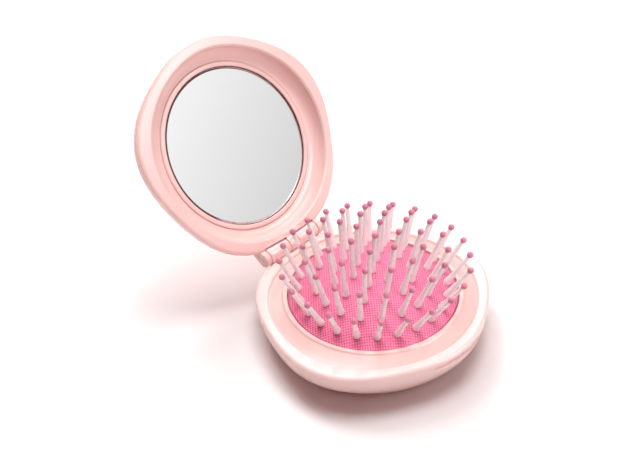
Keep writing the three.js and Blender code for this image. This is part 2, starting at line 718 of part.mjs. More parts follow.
function mirrorTape() {
  const bottom = MIRROR_BACK + SEAT_GAP;
  const profile = [at(0, bottom), at(TAPE_RADIUS, bottom), at(TAPE_RADIUS, TAPE_BACK), at(0, TAPE_BACK)];
  return mesh("mirror_tape", turnedRing(profile), foamTape());
}

// Parts that swing with the lid, made shut and turned open about the hinge pin
function lid() {
  const made = new THREE.Group();
  made.position.set(0, HINGE_Y, HINGE_Z);
  made.rotation.x = -LID_OPEN_ANGLE;
  const shut = new THREE.Group();
  shut.position.set(0, -HINGE_Y, -HINGE_Z);
  shut.add(lidShell(), lidLiner(), mirrorBezel(), mirror(), mirrorTape());
  made.add(shut);
  return made;
}

function base() {
  const made = new THREE.Group();
  made.add(baseShell(), baseDeck(), hingePin());
  return made;
}

function pad() {
  const made = new THREE.Group();
  made.add(pushPlate(), padRing(), clampRing(), cushion());
  const outer = ROW_PINS.length - 1;
  for (let row = 0; row < outer; row += 1) made.add(...pinsOfRow(row));
  made.add(...outerPins(outer));
  return made;
}

// The whole brush, moved along Y so that its own middle is at the origin
function brush() {
  const pieces = new THREE.Group();
  pieces.add(base(), pad(), lid());
  pieces.updateMatrixWorld(true);
  const box = new THREE.Box3().setFromObject(pieces, true);
  pieces.position.y = -(box.min.y + box.max.y) * HALF_SHARE;
  const made = new THREE.Group();
  made.name = "hairbrush";
  made.add(pieces);
  return made;
}

const part = brush();

export default part;
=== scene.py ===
"""Folding pop-up hairbrush with a mirror lid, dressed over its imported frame.

Profiles are pairs (radius, height) in millimetres about the pad's axis, with the lid shut.
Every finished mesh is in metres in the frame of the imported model.
"""

import math

import bpy
import numpy as np
from bpy.props import FloatProperty, FloatVectorProperty, PointerProperty
from mathutils import Matrix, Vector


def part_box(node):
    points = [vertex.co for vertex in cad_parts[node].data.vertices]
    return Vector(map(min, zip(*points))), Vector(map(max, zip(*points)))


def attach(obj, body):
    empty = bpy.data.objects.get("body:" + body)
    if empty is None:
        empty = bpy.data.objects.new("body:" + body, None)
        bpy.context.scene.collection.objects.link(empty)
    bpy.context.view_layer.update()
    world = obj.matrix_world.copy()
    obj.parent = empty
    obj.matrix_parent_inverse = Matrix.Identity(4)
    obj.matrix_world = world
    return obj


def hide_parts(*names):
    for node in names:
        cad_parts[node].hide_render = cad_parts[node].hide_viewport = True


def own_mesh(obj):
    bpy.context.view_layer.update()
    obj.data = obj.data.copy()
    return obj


bl_info = {
    "name": "Folding Hairbrush",
    "version": (1, 0, 0),
    "blender": (4, 5, 0),
    "location": "View3D > Sidebar > Hairbrush",
    "description": "Builds the looks of a folding pop-up hairbrush around its packed frame",
    "category": "Object",
}

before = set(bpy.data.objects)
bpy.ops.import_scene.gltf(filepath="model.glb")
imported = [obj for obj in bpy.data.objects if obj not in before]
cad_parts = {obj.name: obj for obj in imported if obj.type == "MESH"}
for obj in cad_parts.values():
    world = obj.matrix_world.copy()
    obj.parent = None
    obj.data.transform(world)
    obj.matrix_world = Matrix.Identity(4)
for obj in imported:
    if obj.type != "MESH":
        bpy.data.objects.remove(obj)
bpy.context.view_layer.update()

# Units and the axes that the frame gives
MM = 0.001
PAD_CENTRE = (np.array(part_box("push_plate")[0]) + np.array(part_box("push_plate")[1])) / 2
PAD_Y = float(PAD_CENTRE[1])
LID_OPEN = math.radians(121.4)
SMALL = 1e-7

# Finishes that several pieces share
WHITE = (1, 1, 1, 1)
CASE_GLOSS = 0.16

# Outline of the case
OUTLINE_RADIUS = 36.6
OVAL_SWELL = 0.6
PEAR_SWELL = 0.55
LOBE_SWELL = 0.77
PEAR_LOBES = 3
LOBES = 5
ROUND_RADIUS = 28.5
OVAL_FULL_RADIUS = 35.0
LOBE_START_RADIUS = 31.5

# Base
RIM_HEIGHT = 12.8
RIM_ROUND = 1.3
BAND_INNER = 32.6
WALL_DRAW = 6.4
HAND_HOLE = 27.2
FLOOR_THICKNESS = 1.2
LEDGE_THICKNESS = 0.8
BAND_FOOT = 10.6
CAVITY_RADIUS = 34.8
CAVITY_SHOULDER = 33.7
GUIDE_INNER = 28.4
GUIDE_OUTER = 29.7
GUIDE_TOP = 11.25
BORE = 26.7
BEAD_TOP = 13.9
BEAD_OUTER = 28.3
DISH_FLOOR = 11.75

# Pad
PAD_BOTTOM = 9.3
PAD_RADIUS = 26.4
CUSHION_EDGE = 13.4
CUSHION_CROWN = 7.8
CUSHION_RADIUS = 26.35
DOME_RADIUS = 25.95
CUSHION_SKIN = 0.8

# Pins: radius at the foot, radius and height of the ball, pins in each row
ROW_FEET = (0.0, 6.1, 12.0, 17.65, 22.7)
ROW_BALLS = (0.0, 7.52, 14.53, 21.93, 29.1)
ROW_HEIGHTS = (35.2, 34.88, 33.33, 30.68, 26.94)
ROW_COUNTS = (1, 6, 12, 18, 24)
OUTER_ROW = 4
PINS_PER_NODE = 6
PIN_LEAN = (0.6, -0.78)
WEAVE_TURN = math.radians(43.25)

# Hinge and lid
HINGE_Y = 36.66
HINGE_Z = 14.2
KNUCKLE = 2.7
NOTCH = 3.05
LID_MOUTH = 13.1
LID_TOP = 24.1
MIRROR_FACE = 18.3
MIRROR_RADIUS = 26.8


def length(name, description, default, low):
    """Length that a user may change; its default and least value are given in millimetres."""
    return FloatProperty(
        name=name, description=description, default=default * MM, min=low * MM, unit="LENGTH")


class HairbrushSizes(bpy.types.PropertyGroup):
    """Sizes that a user may change."""

    ball_radius: length("Ball radius", "Radius of the dipped ball on each pin", 1.0, 0.2)
    weave_pitch: length("Weave pitch", "Distance between the threads of the cushion's cloth", 0.74, 0.1)
    foot_dimple: length("Foot dimple", "How far each pin draws the cushion in around its foot", 0.16, 0.0)
    mirror_bevel: length("Mirror bevel", "Width of the bright bevel round the mirror", 0.62, 0.05)
    camera_lens: FloatProperty(
        name="Lens", description="Focal length of the camera in millimetres", default=50.23, min=10.0)


def tint(name, description, default):
    """Linear colour that a user may change."""
    return FloatVectorProperty(
        name=name, description=description, default=default, subtype="COLOR", size=3, min=0.0, max=1.0)


class HairbrushColours(bpy.types.PropertyGroup):
    """Linear colours of the finishes."""

    case: tint("Lid", "Pale pink plastic of the lid and the deck", (0.97, 0.68, 0.65))
    # Painted light: a lighter copy of the lid's plastic, so that the base's rim and wall come out brighter
    # than the deck.
    base: tint("Base", "Plastic of the base, painted a shade lighter than the lid", (0.98, 0.74, 0.71))
    case_deep: tint("Lid, deeper", "Deeper pink in the clouding of the plastic", (0.95, 0.645, 0.61))
    inner: tint("Carrier", "Plastic of the pad carrier and its push plate", (0.85, 0.5, 0.48))
    cushion: tint("Cushion", "Hot pink cloth of the cushion", (0.95, 0.22, 0.4))
    # Painted highlight: the glint colour on the crests of the threads.
    cushion_painted_glint: tint("Cushion, painted glint", "Painted glint: light pink where a thread lies on top", (0.98, 0.45, 0.6))
    cushion_hole: tint("Cushion, between threads", "Darker pink between the threads", (0.6, 0.06, 0.2))
    nylon: tint("Pin", "Milky nylon of the pins", (0.97, 0.93, 0.93))
    ball: tint("Ball", "Dusty rose of the dipped balls", (0.75, 0.28, 0.4))
    floor: tint("Floor", "White table", (0.97, 0.97, 0.97))


# Profiles

def softened(corners, steps=9):
    """Polyline whose corners are curves.

    Each corner is (radius, height, cut). It becomes (1-t)^2 p + 2t(1-t) c + t^2 q, where c is the corner
    and p and q lie the length cut before and after it, at most 0.45 of a side.
    """
    table = np.array(corners, float)
    point, cut = table[:, :2], table[:, 2]
    before, after = np.roll(point, 1, 0) - point, np.roll(point, -1, 0) - point
    lengths = [np.maximum(np.linalg.norm(side, axis=1), SMALL) for side in (before, after)]
    start = point + before * (np.minimum(cut, 0.45 * lengths[0]) / lengths[0])[:, None]
    end = point + after * (np.minimum(cut, 0.45 * lengths[1]) / lengths[1])[:, None]
    t = np.linspace(0, 1, steps)[None, :, None]
    curve = (1 - t) ** 2 * start[:, None] + 2 * t * (1 - t) * point[:, None] + t ** 2 * end[:, None]
    flat = curve.reshape(-1, 2)
    keep = np.r_[True, np.linalg.norm(np.diff(flat, axis=0), axis=1) > 1e-4]
    return flat[keep]


def filled(profile, step, closed=True):
    """Profile with no side longer than step: the old arc lengths are joined with even ones."""
    path = np.vstack([profile, profile[:1]]) if closed else np.array(profile)
    length = np.r_[0, np.cumsum(np.linalg.norm(np.diff(path, axis=0), axis=1))]
    wanted = np.union1d(np.round(length, 5), np.round(np.arange(0, length[-1], step), 5))
    wanted = wanted[np.r_[True, np.diff(wanted) > 0.02]]
    out = np.stack([np.interp(wanted, length, path[:, k]) for k in (0, 1)], 1)
    return out[:-1] if closed and np.allclose(out[0], out[-1], atol=0.03) else out


def rim_round(side, lip):
    """Quarter round (1-t)^2 p + 2t(1-t) c + t^2 q from the wall to the flat of the lip."""
    start, corner = np.array([OUTLINE_RADIUS, side]), np.array([OUTLINE_RADIUS, lip])
    end = np.array([OUTLINE_RADIUS - RIM_ROUND, lip])
    t = np.linspace(0, 1, 12)[1:, None]
    return (1 - t) ** 2 * start + 2 * t * (1 - t) * corner + t ** 2 * end


def bowl_wall(foot, rim, count=40):
    """Side of a bowl: radius = outline - draw (1-s)^2 and height from foot to rim, for s from 0 to 1."""
    s = np.linspace(0, 1, count)
    return np.stack([OUTLINE_RADIUS - WALL_DRAW * (1 - s) ** 2, foot + (rim - foot) * s], 1)


# Grids of points

def even_angles(count):
    """Angles round the circle in equal steps."""
    return np.arange(count) * 2 * math.pi / count


def case_angles():
    """Angles round the case, dense at the hinge, less so at the scoop and wide elsewhere."""
    fine, medium, wide = (math.radians(degrees) for degrees in (0.3, 0.6, 1.5))
    zones = ((-112, -68, medium), (-68, 65, wide), (65, 115, fine), (115, 248, wide))
    return np.concatenate([
        np.arange(math.radians(a), math.radians(b) - step / 2, step) for a, b, step in zones])


def turned(profile, angles):
    """Profile carried round Z: x = r cos(a), y = r sin(a), z = height."""
    radius, height = profile[:, :1], profile[:, 1:]
    return np.stack([radius * np.cos(angles), radius * np.sin(angles),
                     np.broadcast_to(height, (len(profile), len(angles)))], 2)


def swollen(grid):
    """Case outline: r grows by oval cos 2a + lobe cos 5f - pear cos 3f, faded in with r; f is a + 90."""
    out = grid.copy()
    radius = np.hypot(grid[..., 0], grid[..., 1])
    angle = np.arctan2(grid[..., 1], grid[..., 0])
    oval = np.clip((radius - ROUND_RADIUS) / (OVAL_FULL_RADIUS - ROUND_RADIUS), 0, 1)
    lobe = np.clip((radius - LOBE_START_RADIUS) / (OUTLINE_RADIUS - LOBE_START_RADIUS), 0, 1)
    wide = radius + OVAL_SWELL * oval * np.cos(2 * angle)
    front = angle + math.pi / 2
    wide += lobe * (LOBE_SWELL * np.cos(LOBES * front) - PEAR_SWELL * np.cos(PEAR_LOBES * front))
    out[..., 0], out[..., 1] = wide * np.cos(angle), wide * np.sin(angle)
    return out


def pushed_out(grid, centre, radius, inside):
    """Points inside a rod along X move straight away from its axis to its surface and line a groove."""
    out = grid.copy()
    dy, dz = grid[..., 1] - centre[0], grid[..., 2] - centre[1]
    distance = np.maximum(np.hypot(dy, dz), 1e-6)
    limit = radius(grid[..., 0])
    hit = inside(grid) & (distance < limit)
    share = np.where(hit, limit / distance, 1.0)
    out[..., 1] = centre[0] + dy * share
    out[..., 2] = centre[1] + dz * share
    return out


def notched(grid, ranges, room=NOTCH):
    """Room for the other half's knuckles: a rod about the hinge within each range of X."""
    def inside(points):
        x = points[..., 0]
        found = np.zeros(x.shape, bool)
        for low, high in ranges:
            found |= (x > low) & (x < high)
        return found & (points[..., 1] > HINGE_Y - NOTCH - 1)
    return pushed_out(grid, (HINGE_Y, HINGE_Z), lambda x: np.full(x.shape, room), inside)


def placed(shape):
    """Points of a shape, from millimetres to metres, with the pad's axis where the frame has it."""
    points, faces = shape
    return points * MM + np.array([0.0, PAD_Y, 0.0]), faces


def opened(shape):
    """Lid shape turned open: y and z turn by minus the open angle about the hinge pin."""
    points, faces = shape
    y, z = points[..., 1] - HINGE_Y, points[..., 2] - HINGE_Z
    c, s = math.cos(-LID_OPEN), math.sin(-LID_OPEN)
    return placed((np.stack([points[..., 0], HINGE_Y + y * c - z * s, HINGE_Z + y * s + z * c], -1), faces))


# Meshes

def outward(points, faces):
    """Faces turned round if the signed volume, the sum of a . (b x c) over the triangles, is negative."""
    quads = np.array([face if len(face) == 4 else (*face, face[2]) for face in faces])
    a, b, c, d = (points[quads[:, k]] for k in range(4))
    volume = np.einsum("ij,ij->", a, np.cross(b, c)) + np.einsum("ij,ij->", a, np.cross(c, d))
    return faces if volume > 0 else [face[::-1] for face in faces]


def grid_faces(rows, columns, closed):
    """Quads of a grid whose columns close, and whose rows close too where closed is true."""
    i, j = np.meshgrid(np.arange(rows if closed else rows - 1), np.arange(columns), indexing="ij")
    k, m = (i + 1) % rows, (j + 1) % columns
    return np.stack([i * columns + j, i * columns + m, k * columns + m, k * columns + j], -1).reshape(-1, 4)


def surface(grid, closed=True):
    """Points and outward faces of a turned grid; an open profile ends in one pole point at each end."""
    rows, columns = grid.shape[:2]
    if closed:
        points = grid.reshape(-1, 3)
        return points, outward(points, grid_faces(rows, columns, True).tolist())
    rings = grid[1:-1].reshape(-1, 3)
    points = np.vstack([rings, grid[:1, 0], grid[-1:, 0]])
    faces = grid_faces(rows - 2, columns, False).tolist()
    low, high = len(rings), len(rings) + 1
    last = (rows - 3) * columns
    ring = np.arange(columns)
    after = (ring + 1) % columns
    faces += np.stack([np.full(columns, low), after, ring], 1).tolist()
    faces += np.stack([np.full(columns, high), last + ring, last + after], 1).tolist()
    return points, outward(points, faces)


def new_piece(name, points, faces, materials, indices=None):
    mesh = bpy.data.meshes.new(name)
    mesh.from_pydata(points.tolist(), [], faces)
    mesh.polygons.foreach_set("use_smooth", np.ones(len(faces), bool))
    for material in materials:
        mesh.materials.append(material)
    if indices is not None:
        mesh.polygons.foreach_set("material_index", np.array(indices, np.int32))
    mesh.update()
    piece = bpy.data.objects.new(name, mesh)
    bpy.context.scene.collection.objects.link(piece)
    return piece


def dressed(name, shape, materials, body, slot, *nodes, indices=None):
    """New piece from points and faces, which rides on a body and replaces nodes."""
    piece = new_piece(name, *shape, materials, indices)
    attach(piece, body)
    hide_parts(*nodes)
    return piece


def joined(parts):
    """Several (points, faces) as one."""
    offsets = np.cumsum([0] + [len(points) for points, _ in parts])
    faces = [
        [index + int(offset) for index in face]
        for (_, own_faces), offset in zip(parts, offsets) for face in own_faces]
    return np.vstack([points for points, _ in parts]), faces


def knuckle(start, end, up):
    """Hinge knuckle along X: a rounded outline in (y, z) carried along X, a little smaller at both ends."""
    a = np.radians(np.linspace(-40, 220, 40))
    outline = np.stack([KNUCKLE * np.cos(a), -up * KNUCKLE * np.sin(a)], 1)
    root = np.array([[-3.4, up * 2.2], [-3.8, up * 3.2], [-3.9, up * 4.2], [-3.4, up * 4.5]])
    outline = filled(np.vstack([outline, root]), 0.35)
    middle = outline.mean(0)
    x = np.array([0, 0, 0.05, 0.14, 0.3])
    inset = np.array([1.0, 0.11, 0.05, 0.015, 0.0])
    x = np.r_[start + x, end - x[::-1]]
    size = 1 - np.r_[inset, inset[::-1]]
    ring = middle + (outline - middle)[None] * size[:, None, None]
    grid = np.stack([np.broadcast_to(x[:, None], ring.shape[:2]),
                     ring[..., 0] + HINGE_Y, ring[..., 1] + HINGE_Z], 2)
    return surface(grid, closed=False)


# Shader nodes

def shader(name):
    material = bpy.data.materials.new(name)
    material.use_nodes = True
    return material, material.node_tree, material.node_tree.nodes["Principled BSDF"]


def fill(node, values):
    """Constants on the inputs of a node, by name or number."""
    for key, value in dict(values).items():
        node.inputs[key].default_value = value
    return node


def add(tree, kind, values=(), **settings):
    """One node with its settings and the constants on its inputs."""
    node = tree.nodes.new(kind)
    for key, value in settings.items():
        setattr(node, key, value)
    return fill(node, values)


def wire(tree, *runs):
    """Links; each run is a node, its output, the next node and its input."""
    for source, out, sink, into in runs:
        tree.links.new(source.outputs[out], sink.inputs[into])


def group(name, inputs, outputs):
    """Empty node group with float or colour sockets."""
    tree = bpy.data.node_groups.new(name, "ShaderNodeTree")
    kinds = {"float": "NodeSocketFloat", "colour": "NodeSocketColor"}
    for label, kind, value in inputs:
        socket = tree.interface.new_socket(name=label, in_out="INPUT", socket_type=kinds[kind])
        socket.default_value = value
    for label, kind in outputs:
        tree.interface.new_socket(name=label, in_out="OUTPUT", socket_type=kinds[kind])
    return tree, tree.nodes.new("NodeGroupInput"), tree.nodes.new("NodeGroupOutput")


def opaque(colour):
    return (*colour, 1.0)


def scaled(colour, factor):
    return [c * factor for c in colour]


def moulded_group():
    """Clouding, gloss change and fine skin of moulded plastic, from object coordinates."""
    found = bpy.data.node_groups.get("Moulded skin")
    if found:
        return found
    tree, source, sink = group(
        "Moulded skin",
        [("Colour", "colour", WHITE), ("Deep", "colour", WHITE), ("Cloud size", "float", 60.0),
         ("Grain size", "float", 2500.0), ("Gloss", "float", 0.35), ("Gloss change", "float", 0.08)],
        [("Colour", "colour"), ("Roughness", "float"), ("Height", "float")])
    place = add(tree, "ShaderNodeTexCoord")
    cloud = add(tree, "ShaderNodeTexNoise", {"Detail": 3.0, "Roughness": 0.55})
    grain = add(tree, "ShaderNodeTexNoise", {"Detail": 2.0, "Roughness": 0.6})
    mix = add(tree, "ShaderNodeMix", data_type="RGBA")
    ramp = add(tree, "ShaderNodeMapRange", {"From Min": 0.35, "From Max": 0.65})
    gloss = add(tree, "ShaderNodeMath", operation="MULTIPLY_ADD")
    wire(
        tree, (place, "Object", cloud, "Vector"), (place, "Object", grain, "Vector"),
        (source, "Cloud size", cloud, "Scale"), (source, "Grain size", grain, "Scale"),
        (cloud, "Fac", ramp, "Value"), (ramp, "Result", mix, "Factor"),
        (source, "Colour", mix, "A"), (source, "Deep", mix, "B"),
        (ramp, "Result", gloss, 0), (source, "Gloss change", gloss, 1), (source, "Gloss", gloss, 2),
        (mix, "Result", sink, "Colour"), (gloss, "Value", sink, "Roughness"),
        (grain, "Fac", sink, "Height"))
    return tree


def edge_highlight_and_crease_shade_group():
    """Worn edges with a painted highlight, and painted shade in creases: where the surface is pointed,
    noise breaks up a lighter colour, partly edge wear and partly a painted highlight.

    Where it is hollow, the colour goes towards a deeper, redder one: painted shade.
    """
    found = bpy.data.node_groups.get("Worn edge highlight and crease shade")
    if found:
        return found
    tree, source, sink = group(
        "Worn edge highlight and crease shade",
        [("Colour", "colour", WHITE), ("Edge highlight", "colour", WHITE), ("Crease shade", "colour", WHITE)],
        [("Colour", "colour")])
    shape = add(tree, "ShaderNodeNewGeometry")
    place = add(tree, "ShaderNodeTexCoord")
    noise = add(tree, "ShaderNodeTexNoise", {"Scale": 300.0, "Detail": 3.0})
    # Edge wear and painted highlight: pointed edges turn lighter, broken up by noise.
    edge = add(tree, "ShaderNodeMapRange", {"From Min": 0.52, "From Max": 0.6})
    broken = add(tree, "ShaderNodeMath", operation="MULTIPLY")
    amount = add(tree, "ShaderNodeMath", {1: 0.5}, operation="MULTIPLY", use_clamp=True)
    mix = add(tree, "ShaderNodeMix", data_type="RGBA")
    # Painted shade: hollow places turn towards the deeper, redder crease colour.
    crease_shade_mask = add(tree, "ShaderNodeMapRange", {"From Min": 0.495, "From Max": 0.455, "To Max": 0.8})
    crease_shaded = add(tree, "ShaderNodeMix", data_type="RGBA")
    wire(
        tree, (place, "Object", noise, "Vector"),
        (shape, "Pointiness", crease_shade_mask, "Value"), (crease_shade_mask, "Result", crease_shaded, "Factor"),
        (source, "Colour", crease_shaded, "A"), (source, "Crease shade", crease_shaded, "B"),
        (shape, "Pointiness", edge, "Value"), (edge, "Result", broken, 0), (noise, "Fac", broken, 1),
        (broken, "Value", amount, 0), (amount, "Value", mix, "Factor"),
        (crease_shaded, "Result", mix, "A"), (source, "Edge highlight", mix, "B"), (mix, "Result", sink, "Colour"))
    return tree


def skinned(name, values, strength, depth, finish):
    """Material whose colour, roughness and bump come from the moulded skin, and its nodes to build on."""
    material, tree, bsdf = shader(name)
    skin = add(tree, "ShaderNodeGroup", values, node_tree=moulded_group())
    bump = add(tree, "ShaderNodeBump", {"Strength": strength, "Distance": depth})
    wire(
        tree, (skin, "Colour", bsdf, "Base Color"), (skin, "Roughness", bsdf, "Roughness"),
        (skin, "Height", bump, "Height"), (bump, "Normal", bsdf, "Normal"))
    fill(bsdf, finish)
    return material, tree, bsdf, skin


def plastic(name, colour, deep, gloss, cloud=60.0):
    """Moulded plastic with clouding, fine skin, worn edges with a painted highlight, painted shade in deep
    creases and light inside it.
    """
    material, tree, bsdf, skin = skinned(
        name, {"Colour": opaque(colour), "Deep": opaque(deep), "Gloss": gloss, "Cloud size": cloud},
        0.02, 0.2 * MM,
        {"Subsurface Weight": 0.12, "Subsurface Radius": (1.0, 0.4, 0.35), "Subsurface Scale": 1.5 * MM})
    # Painted light: edges get a lighter colour (wear and painted highlight), creases a deeper, redder one
    # (painted shade).
    edge = add(tree, "ShaderNodeGroup", {
        "Edge highlight": opaque([min(1.0, c * 1.06 + 0.02) for c in colour]),
        "Crease shade": opaque((colour[0] * 0.9, colour[1] * 0.62, colour[2] * 0.58))},
        node_tree=edge_highlight_and_crease_shade_group())
    wire(tree, (skin, "Colour", edge, "Colour"), (edge, "Colour", bsdf, "Base Color"))
    return material


def lid_plastic():
    found = bpy.data.materials.get("Lid plastic")
    if found:
        return found
    colours = bpy.context.scene.hairbrush_colours
    return plastic("Lid plastic", colours.case, colours.case_deep, CASE_GLOSS)


def nylon(colour):
    """Milky nylon, softly see-through."""
    return skinned(
        "Pin nylon",
        {"Colour": opaque(colour), "Deep": opaque(scaled(colour, 0.95)), "Gloss": 0.24, "Gloss change": 0.1,
         "Cloud size": 400.0, "Grain size": 5000.0},
        0.03, 0.1 * MM,
        {"Subsurface Weight": 0.5, "Subsurface Radius": (1.0, 0.75, 0.75), "Subsurface Scale": 1.2 * MM})[0]


def ball_rubber(colour):
    """Dipped ball: rose, glossy, clouded with a deeper shade."""
    return skinned(
        "Ball dip",
        {"Colour": opaque(colour), "Deep": opaque(scaled(colour, 0.82)), "Gloss": 0.3, "Gloss change": 0.12,
         "Cloud size": 500.0, "Grain size": 6000.0},
        0.04, 0.1 * MM,
        {"Subsurface Weight": 0.2, "Subsurface Radius": (1.0, 0.4, 0.5), "Subsurface Scale": 0.6 * MM})[0]


def weave_group():
    """Plain weave over turned (x, y): holes where the sines of both thread directions are high together.

    Painted glint: where both sines are low the threads get a lighter colour, broken up by noise drawn out
    along one thread.
    """
    tree, source, sink = group(
        "Plain weave",
        [("Thread", "colour", WHITE), ("Painted glint", "colour", WHITE), ("Hole", "colour", (0, 0, 0, 1)),
         ("Waves", "float", 1000.0)],
        [("Colour", "colour"), ("Height", "float"), ("Hole mask", "float")])
    place = add(tree, "ShaderNodeTexCoord")
    wander = add(tree, "ShaderNodeTexNoise", {"Scale": 220.0, "Detail": 2.0})
    shift = add(tree, "ShaderNodeVectorMath", {1: (-0.5, -0.5, -0.5)}, operation="ADD")
    bend = add(tree, "ShaderNodeVectorMath", {1: (0.45 * MM, 0.45 * MM, 0.0)}, operation="MULTIPLY_ADD")
    turn = add(tree, "ShaderNodeMapping", {"Rotation": (0.0, 0.0, WEAVE_TURN)})
    parts = add(tree, "ShaderNodeSeparateXYZ")
    both = add(tree, "ShaderNodeMath", operation="ADD")
    wire(
        tree, (place, "Object", wander, "Vector"), (wander, "Color", shift, 0), (shift, "Vector", bend, 0),
        (place, "Object", bend, 2), (bend, "Vector", turn, "Vector"), (turn, "Vector", parts, "Vector"))
    for number, axis in enumerate("XY"):
        phase = add(tree, "ShaderNodeMath", operation="MULTIPLY")
        sine = add(tree, "ShaderNodeMath", operation="SINE")
        wire(tree, (parts, axis, phase, 0), (source, "Waves", phase, 1), (phase, "Value", sine, 0),
             (sine, "Value", both, number))
    hole = add(tree, "ShaderNodeMapRange", {"From Min": 0.25, "From Max": 1.35},
               interpolation_type="SMOOTHSTEP")
    # Painted highlight: a glint on the threads where both sines are low.
    painted_glint_band = add(tree, "ShaderNodeMapRange", {"From Min": -0.2, "From Max": -1.6, "To Max": 0.9})
    along = add(tree, "ShaderNodeMapping", {"Scale": (0.25, 1.0, 1.0)})
    streak = add(tree, "ShaderNodeTexNoise", {"Scale": 2200.0, "Detail": 2.0})
    glint = add(tree, "ShaderNodeMapRange", {"From Min": 0.4, "From Max": 0.65})
    shine = add(tree, "ShaderNodeMath", operation="MULTIPLY")
    thread = add(tree, "ShaderNodeMix", data_type="RGBA")
    ridge = add(tree, "ShaderNodeMath", {0: 1.0}, operation="SUBTRACT")
    patches = add(tree, "ShaderNodeTexNoise", {"Scale": 900.0, "Detail": 2.0})
    uneven = add(tree, "ShaderNodeMapRange", {"From Min": 0.3, "From Max": 0.75, "To Min": 0.45})
    depth = add(tree, "ShaderNodeMath", operation="MULTIPLY")
    mix = add(tree, "ShaderNodeMix", data_type="RGBA")
    wire(
        tree, (both, "Value", hole, "Value"), (both, "Value", painted_glint_band, "Value"),
        (turn, "Vector", along, "Vector"), (along, "Vector", streak, "Vector"),
        (streak, "Fac", glint, "Value"), (painted_glint_band, "Result", shine, 0), (glint, "Result", shine, 1),
        (shine, "Value", thread, "Factor"),
        (source, "Thread", thread, "A"), (source, "Painted glint", thread, "B"),
        (place, "Object", patches, "Vector"), (patches, "Fac", uneven, "Value"),
        (hole, "Result", depth, 0), (uneven, "Result", depth, 1), (depth, "Value", mix, "Factor"),
        (thread, "Result", mix, "A"), (source, "Hole", mix, "B"), (hole, "Result", ridge, 1),
        (mix, "Result", sink, "Colour"), (ridge, "Value", sink, "Height"),
        (depth, "Value", sink, "Hole mask"))
    return tree


def cushion_cloth():
    """Woven cloth bonded to rubber: threads with a painted glint, dark gaps between them and a soft sheen.
    """
    scene = bpy.context.scene
    colours = scene.hairbrush_colours
    material, tree, bsdf = shader("Cushion cloth")
    weave = add(tree, "ShaderNodeGroup", {
        "Thread": opaque(colours.cushion), "Painted glint": opaque(colours.cushion_painted_glint),
        "Hole": opaque(colours.cushion_hole),
        "Waves": 2 * math.pi / scene.hairbrush_sizes.weave_pitch}, node_tree=weave_group())
    rough = add(tree, "ShaderNodeMapRange", {"To Min": 0.55, "To Max": 0.9})
    bump = add(tree, "ShaderNodeBump", {"Strength": 0.6, "Distance": 0.12 * MM})
    wire(
        tree, (weave, "Colour", bsdf, "Base Color"), (weave, "Hole mask", rough, "Value"),
        (rough, "Result", bsdf, "Roughness"), (weave, "Height", bump, "Height"),
        (bump, "Normal", bsdf, "Normal"))
    fill(bsdf, {
        "Sheen Weight": 0.25, "Sheen Roughness": 0.4, "Subsurface Weight": 0.15,
        "Subsurface Radius": (1.0, 0.25, 0.4), "Subsurface Scale": 1.0 * MM})
    return material


def silvered_glass(name, clear, hazy):
    """Mirror: bright metal under glass, its roughness going from clear to hazy in places."""
    material, tree, bsdf = shader(name)
    place = add(tree, "ShaderNodeTexCoord")
    haze = add(tree, "ShaderNodeTexNoise", {"Scale": 45.0, "Detail": 4.0})
    rough = add(tree, "ShaderNodeMapRange", {
        "From Min": 0.4, "From Max": 0.8, "To Min": clear, "To Max": hazy})
    wire(
        tree, (place, "Object", haze, "Vector"), (haze, "Fac", rough, "Value"),
        (rough, "Result", bsdf, "Roughness"))
    fill(bsdf, {"Base Color": (0.87, 0.875, 0.87, 1), "Metallic": 1.0})
    return material


def painted_dark_edge():
    """Ground edge of the mirror, painted near black: painted shade and painted dark reflection at the
    glass's edge.
    """
    material, tree, bsdf = shader("Mirror edge painted dark")
    place = add(tree, "ShaderNodeTexCoord")
    noise = add(tree, "ShaderNodeTexNoise", {"Scale": 1500.0, "Detail": 2.0})
    mix = add(tree, "ShaderNodeMix", {
        "A": (0.03, 0.017, 0.015, 1), "B": (0.09, 0.05, 0.045, 1)}, data_type="RGBA")
    wire(
        tree, (place, "Object", noise, "Vector"), (noise, "Fac", mix, "Factor"),
        (mix, "Result", bsdf, "Base Color"))
    fill(bsdf, {"Roughness": 0.3})
    return material


def steel():
    """Drawn steel wire with fine lines along X."""
    material, tree, bsdf = shader("Hinge steel")
    place = add(tree, "ShaderNodeTexCoord")
    stretch = add(tree, "ShaderNodeMapping", {"Scale": (80.0, 9000.0, 9000.0)})
    lines = add(tree, "ShaderNodeTexNoise", {"Scale": 1.0, "Detail": 2.0})
    rough = add(tree, "ShaderNodeMapRange", {"To Min": 0.2, "To Max": 0.4})
    tone = add(tree, "ShaderNodeMix", {
        "A": (0.5, 0.5, 0.49, 1), "B": (0.65, 0.65, 0.64, 1)}, data_type="RGBA")
    wire(
        tree, (place, "Object", stretch, "Vector"), (stretch, "Vector", lines, "Vector"),
        (lines, "Fac", rough, "Value"), (lines, "Fac", tone, "Factor"),
        (rough, "Result", bsdf, "Roughness"), (tone, "Result", bsdf, "Base Color"))
    fill(bsdf, {"Metallic": 1.0})
    return material


def foam():
    """Closed foam of the mounting tape, with small cells."""
    material, tree, bsdf = shader("Foam tape")
    place = add(tree, "ShaderNodeTexCoord")
    cells = add(tree, "ShaderNodeTexVoronoi", {"Scale": 2500.0})
    tone = add(tree, "ShaderNodeMix", {
        "A": (0.7, 0.7, 0.68, 1), "B": (0.9, 0.9, 0.88, 1)}, data_type="RGBA")
    bump = add(tree, "ShaderNodeBump", {"Strength": 0.4, "Distance": 0.1 * MM})
    wire(
        tree, (place, "Object", cells, "Vector"), (cells, "Distance", tone, "Factor"),
        (tone, "Result", bsdf, "Base Color"), (cells, "Distance", bump, "Height"),
        (bump, "Normal", bsdf, "Normal"))
    fill(bsdf, {"Roughness": 0.85})
    return material


# Pieces of the base

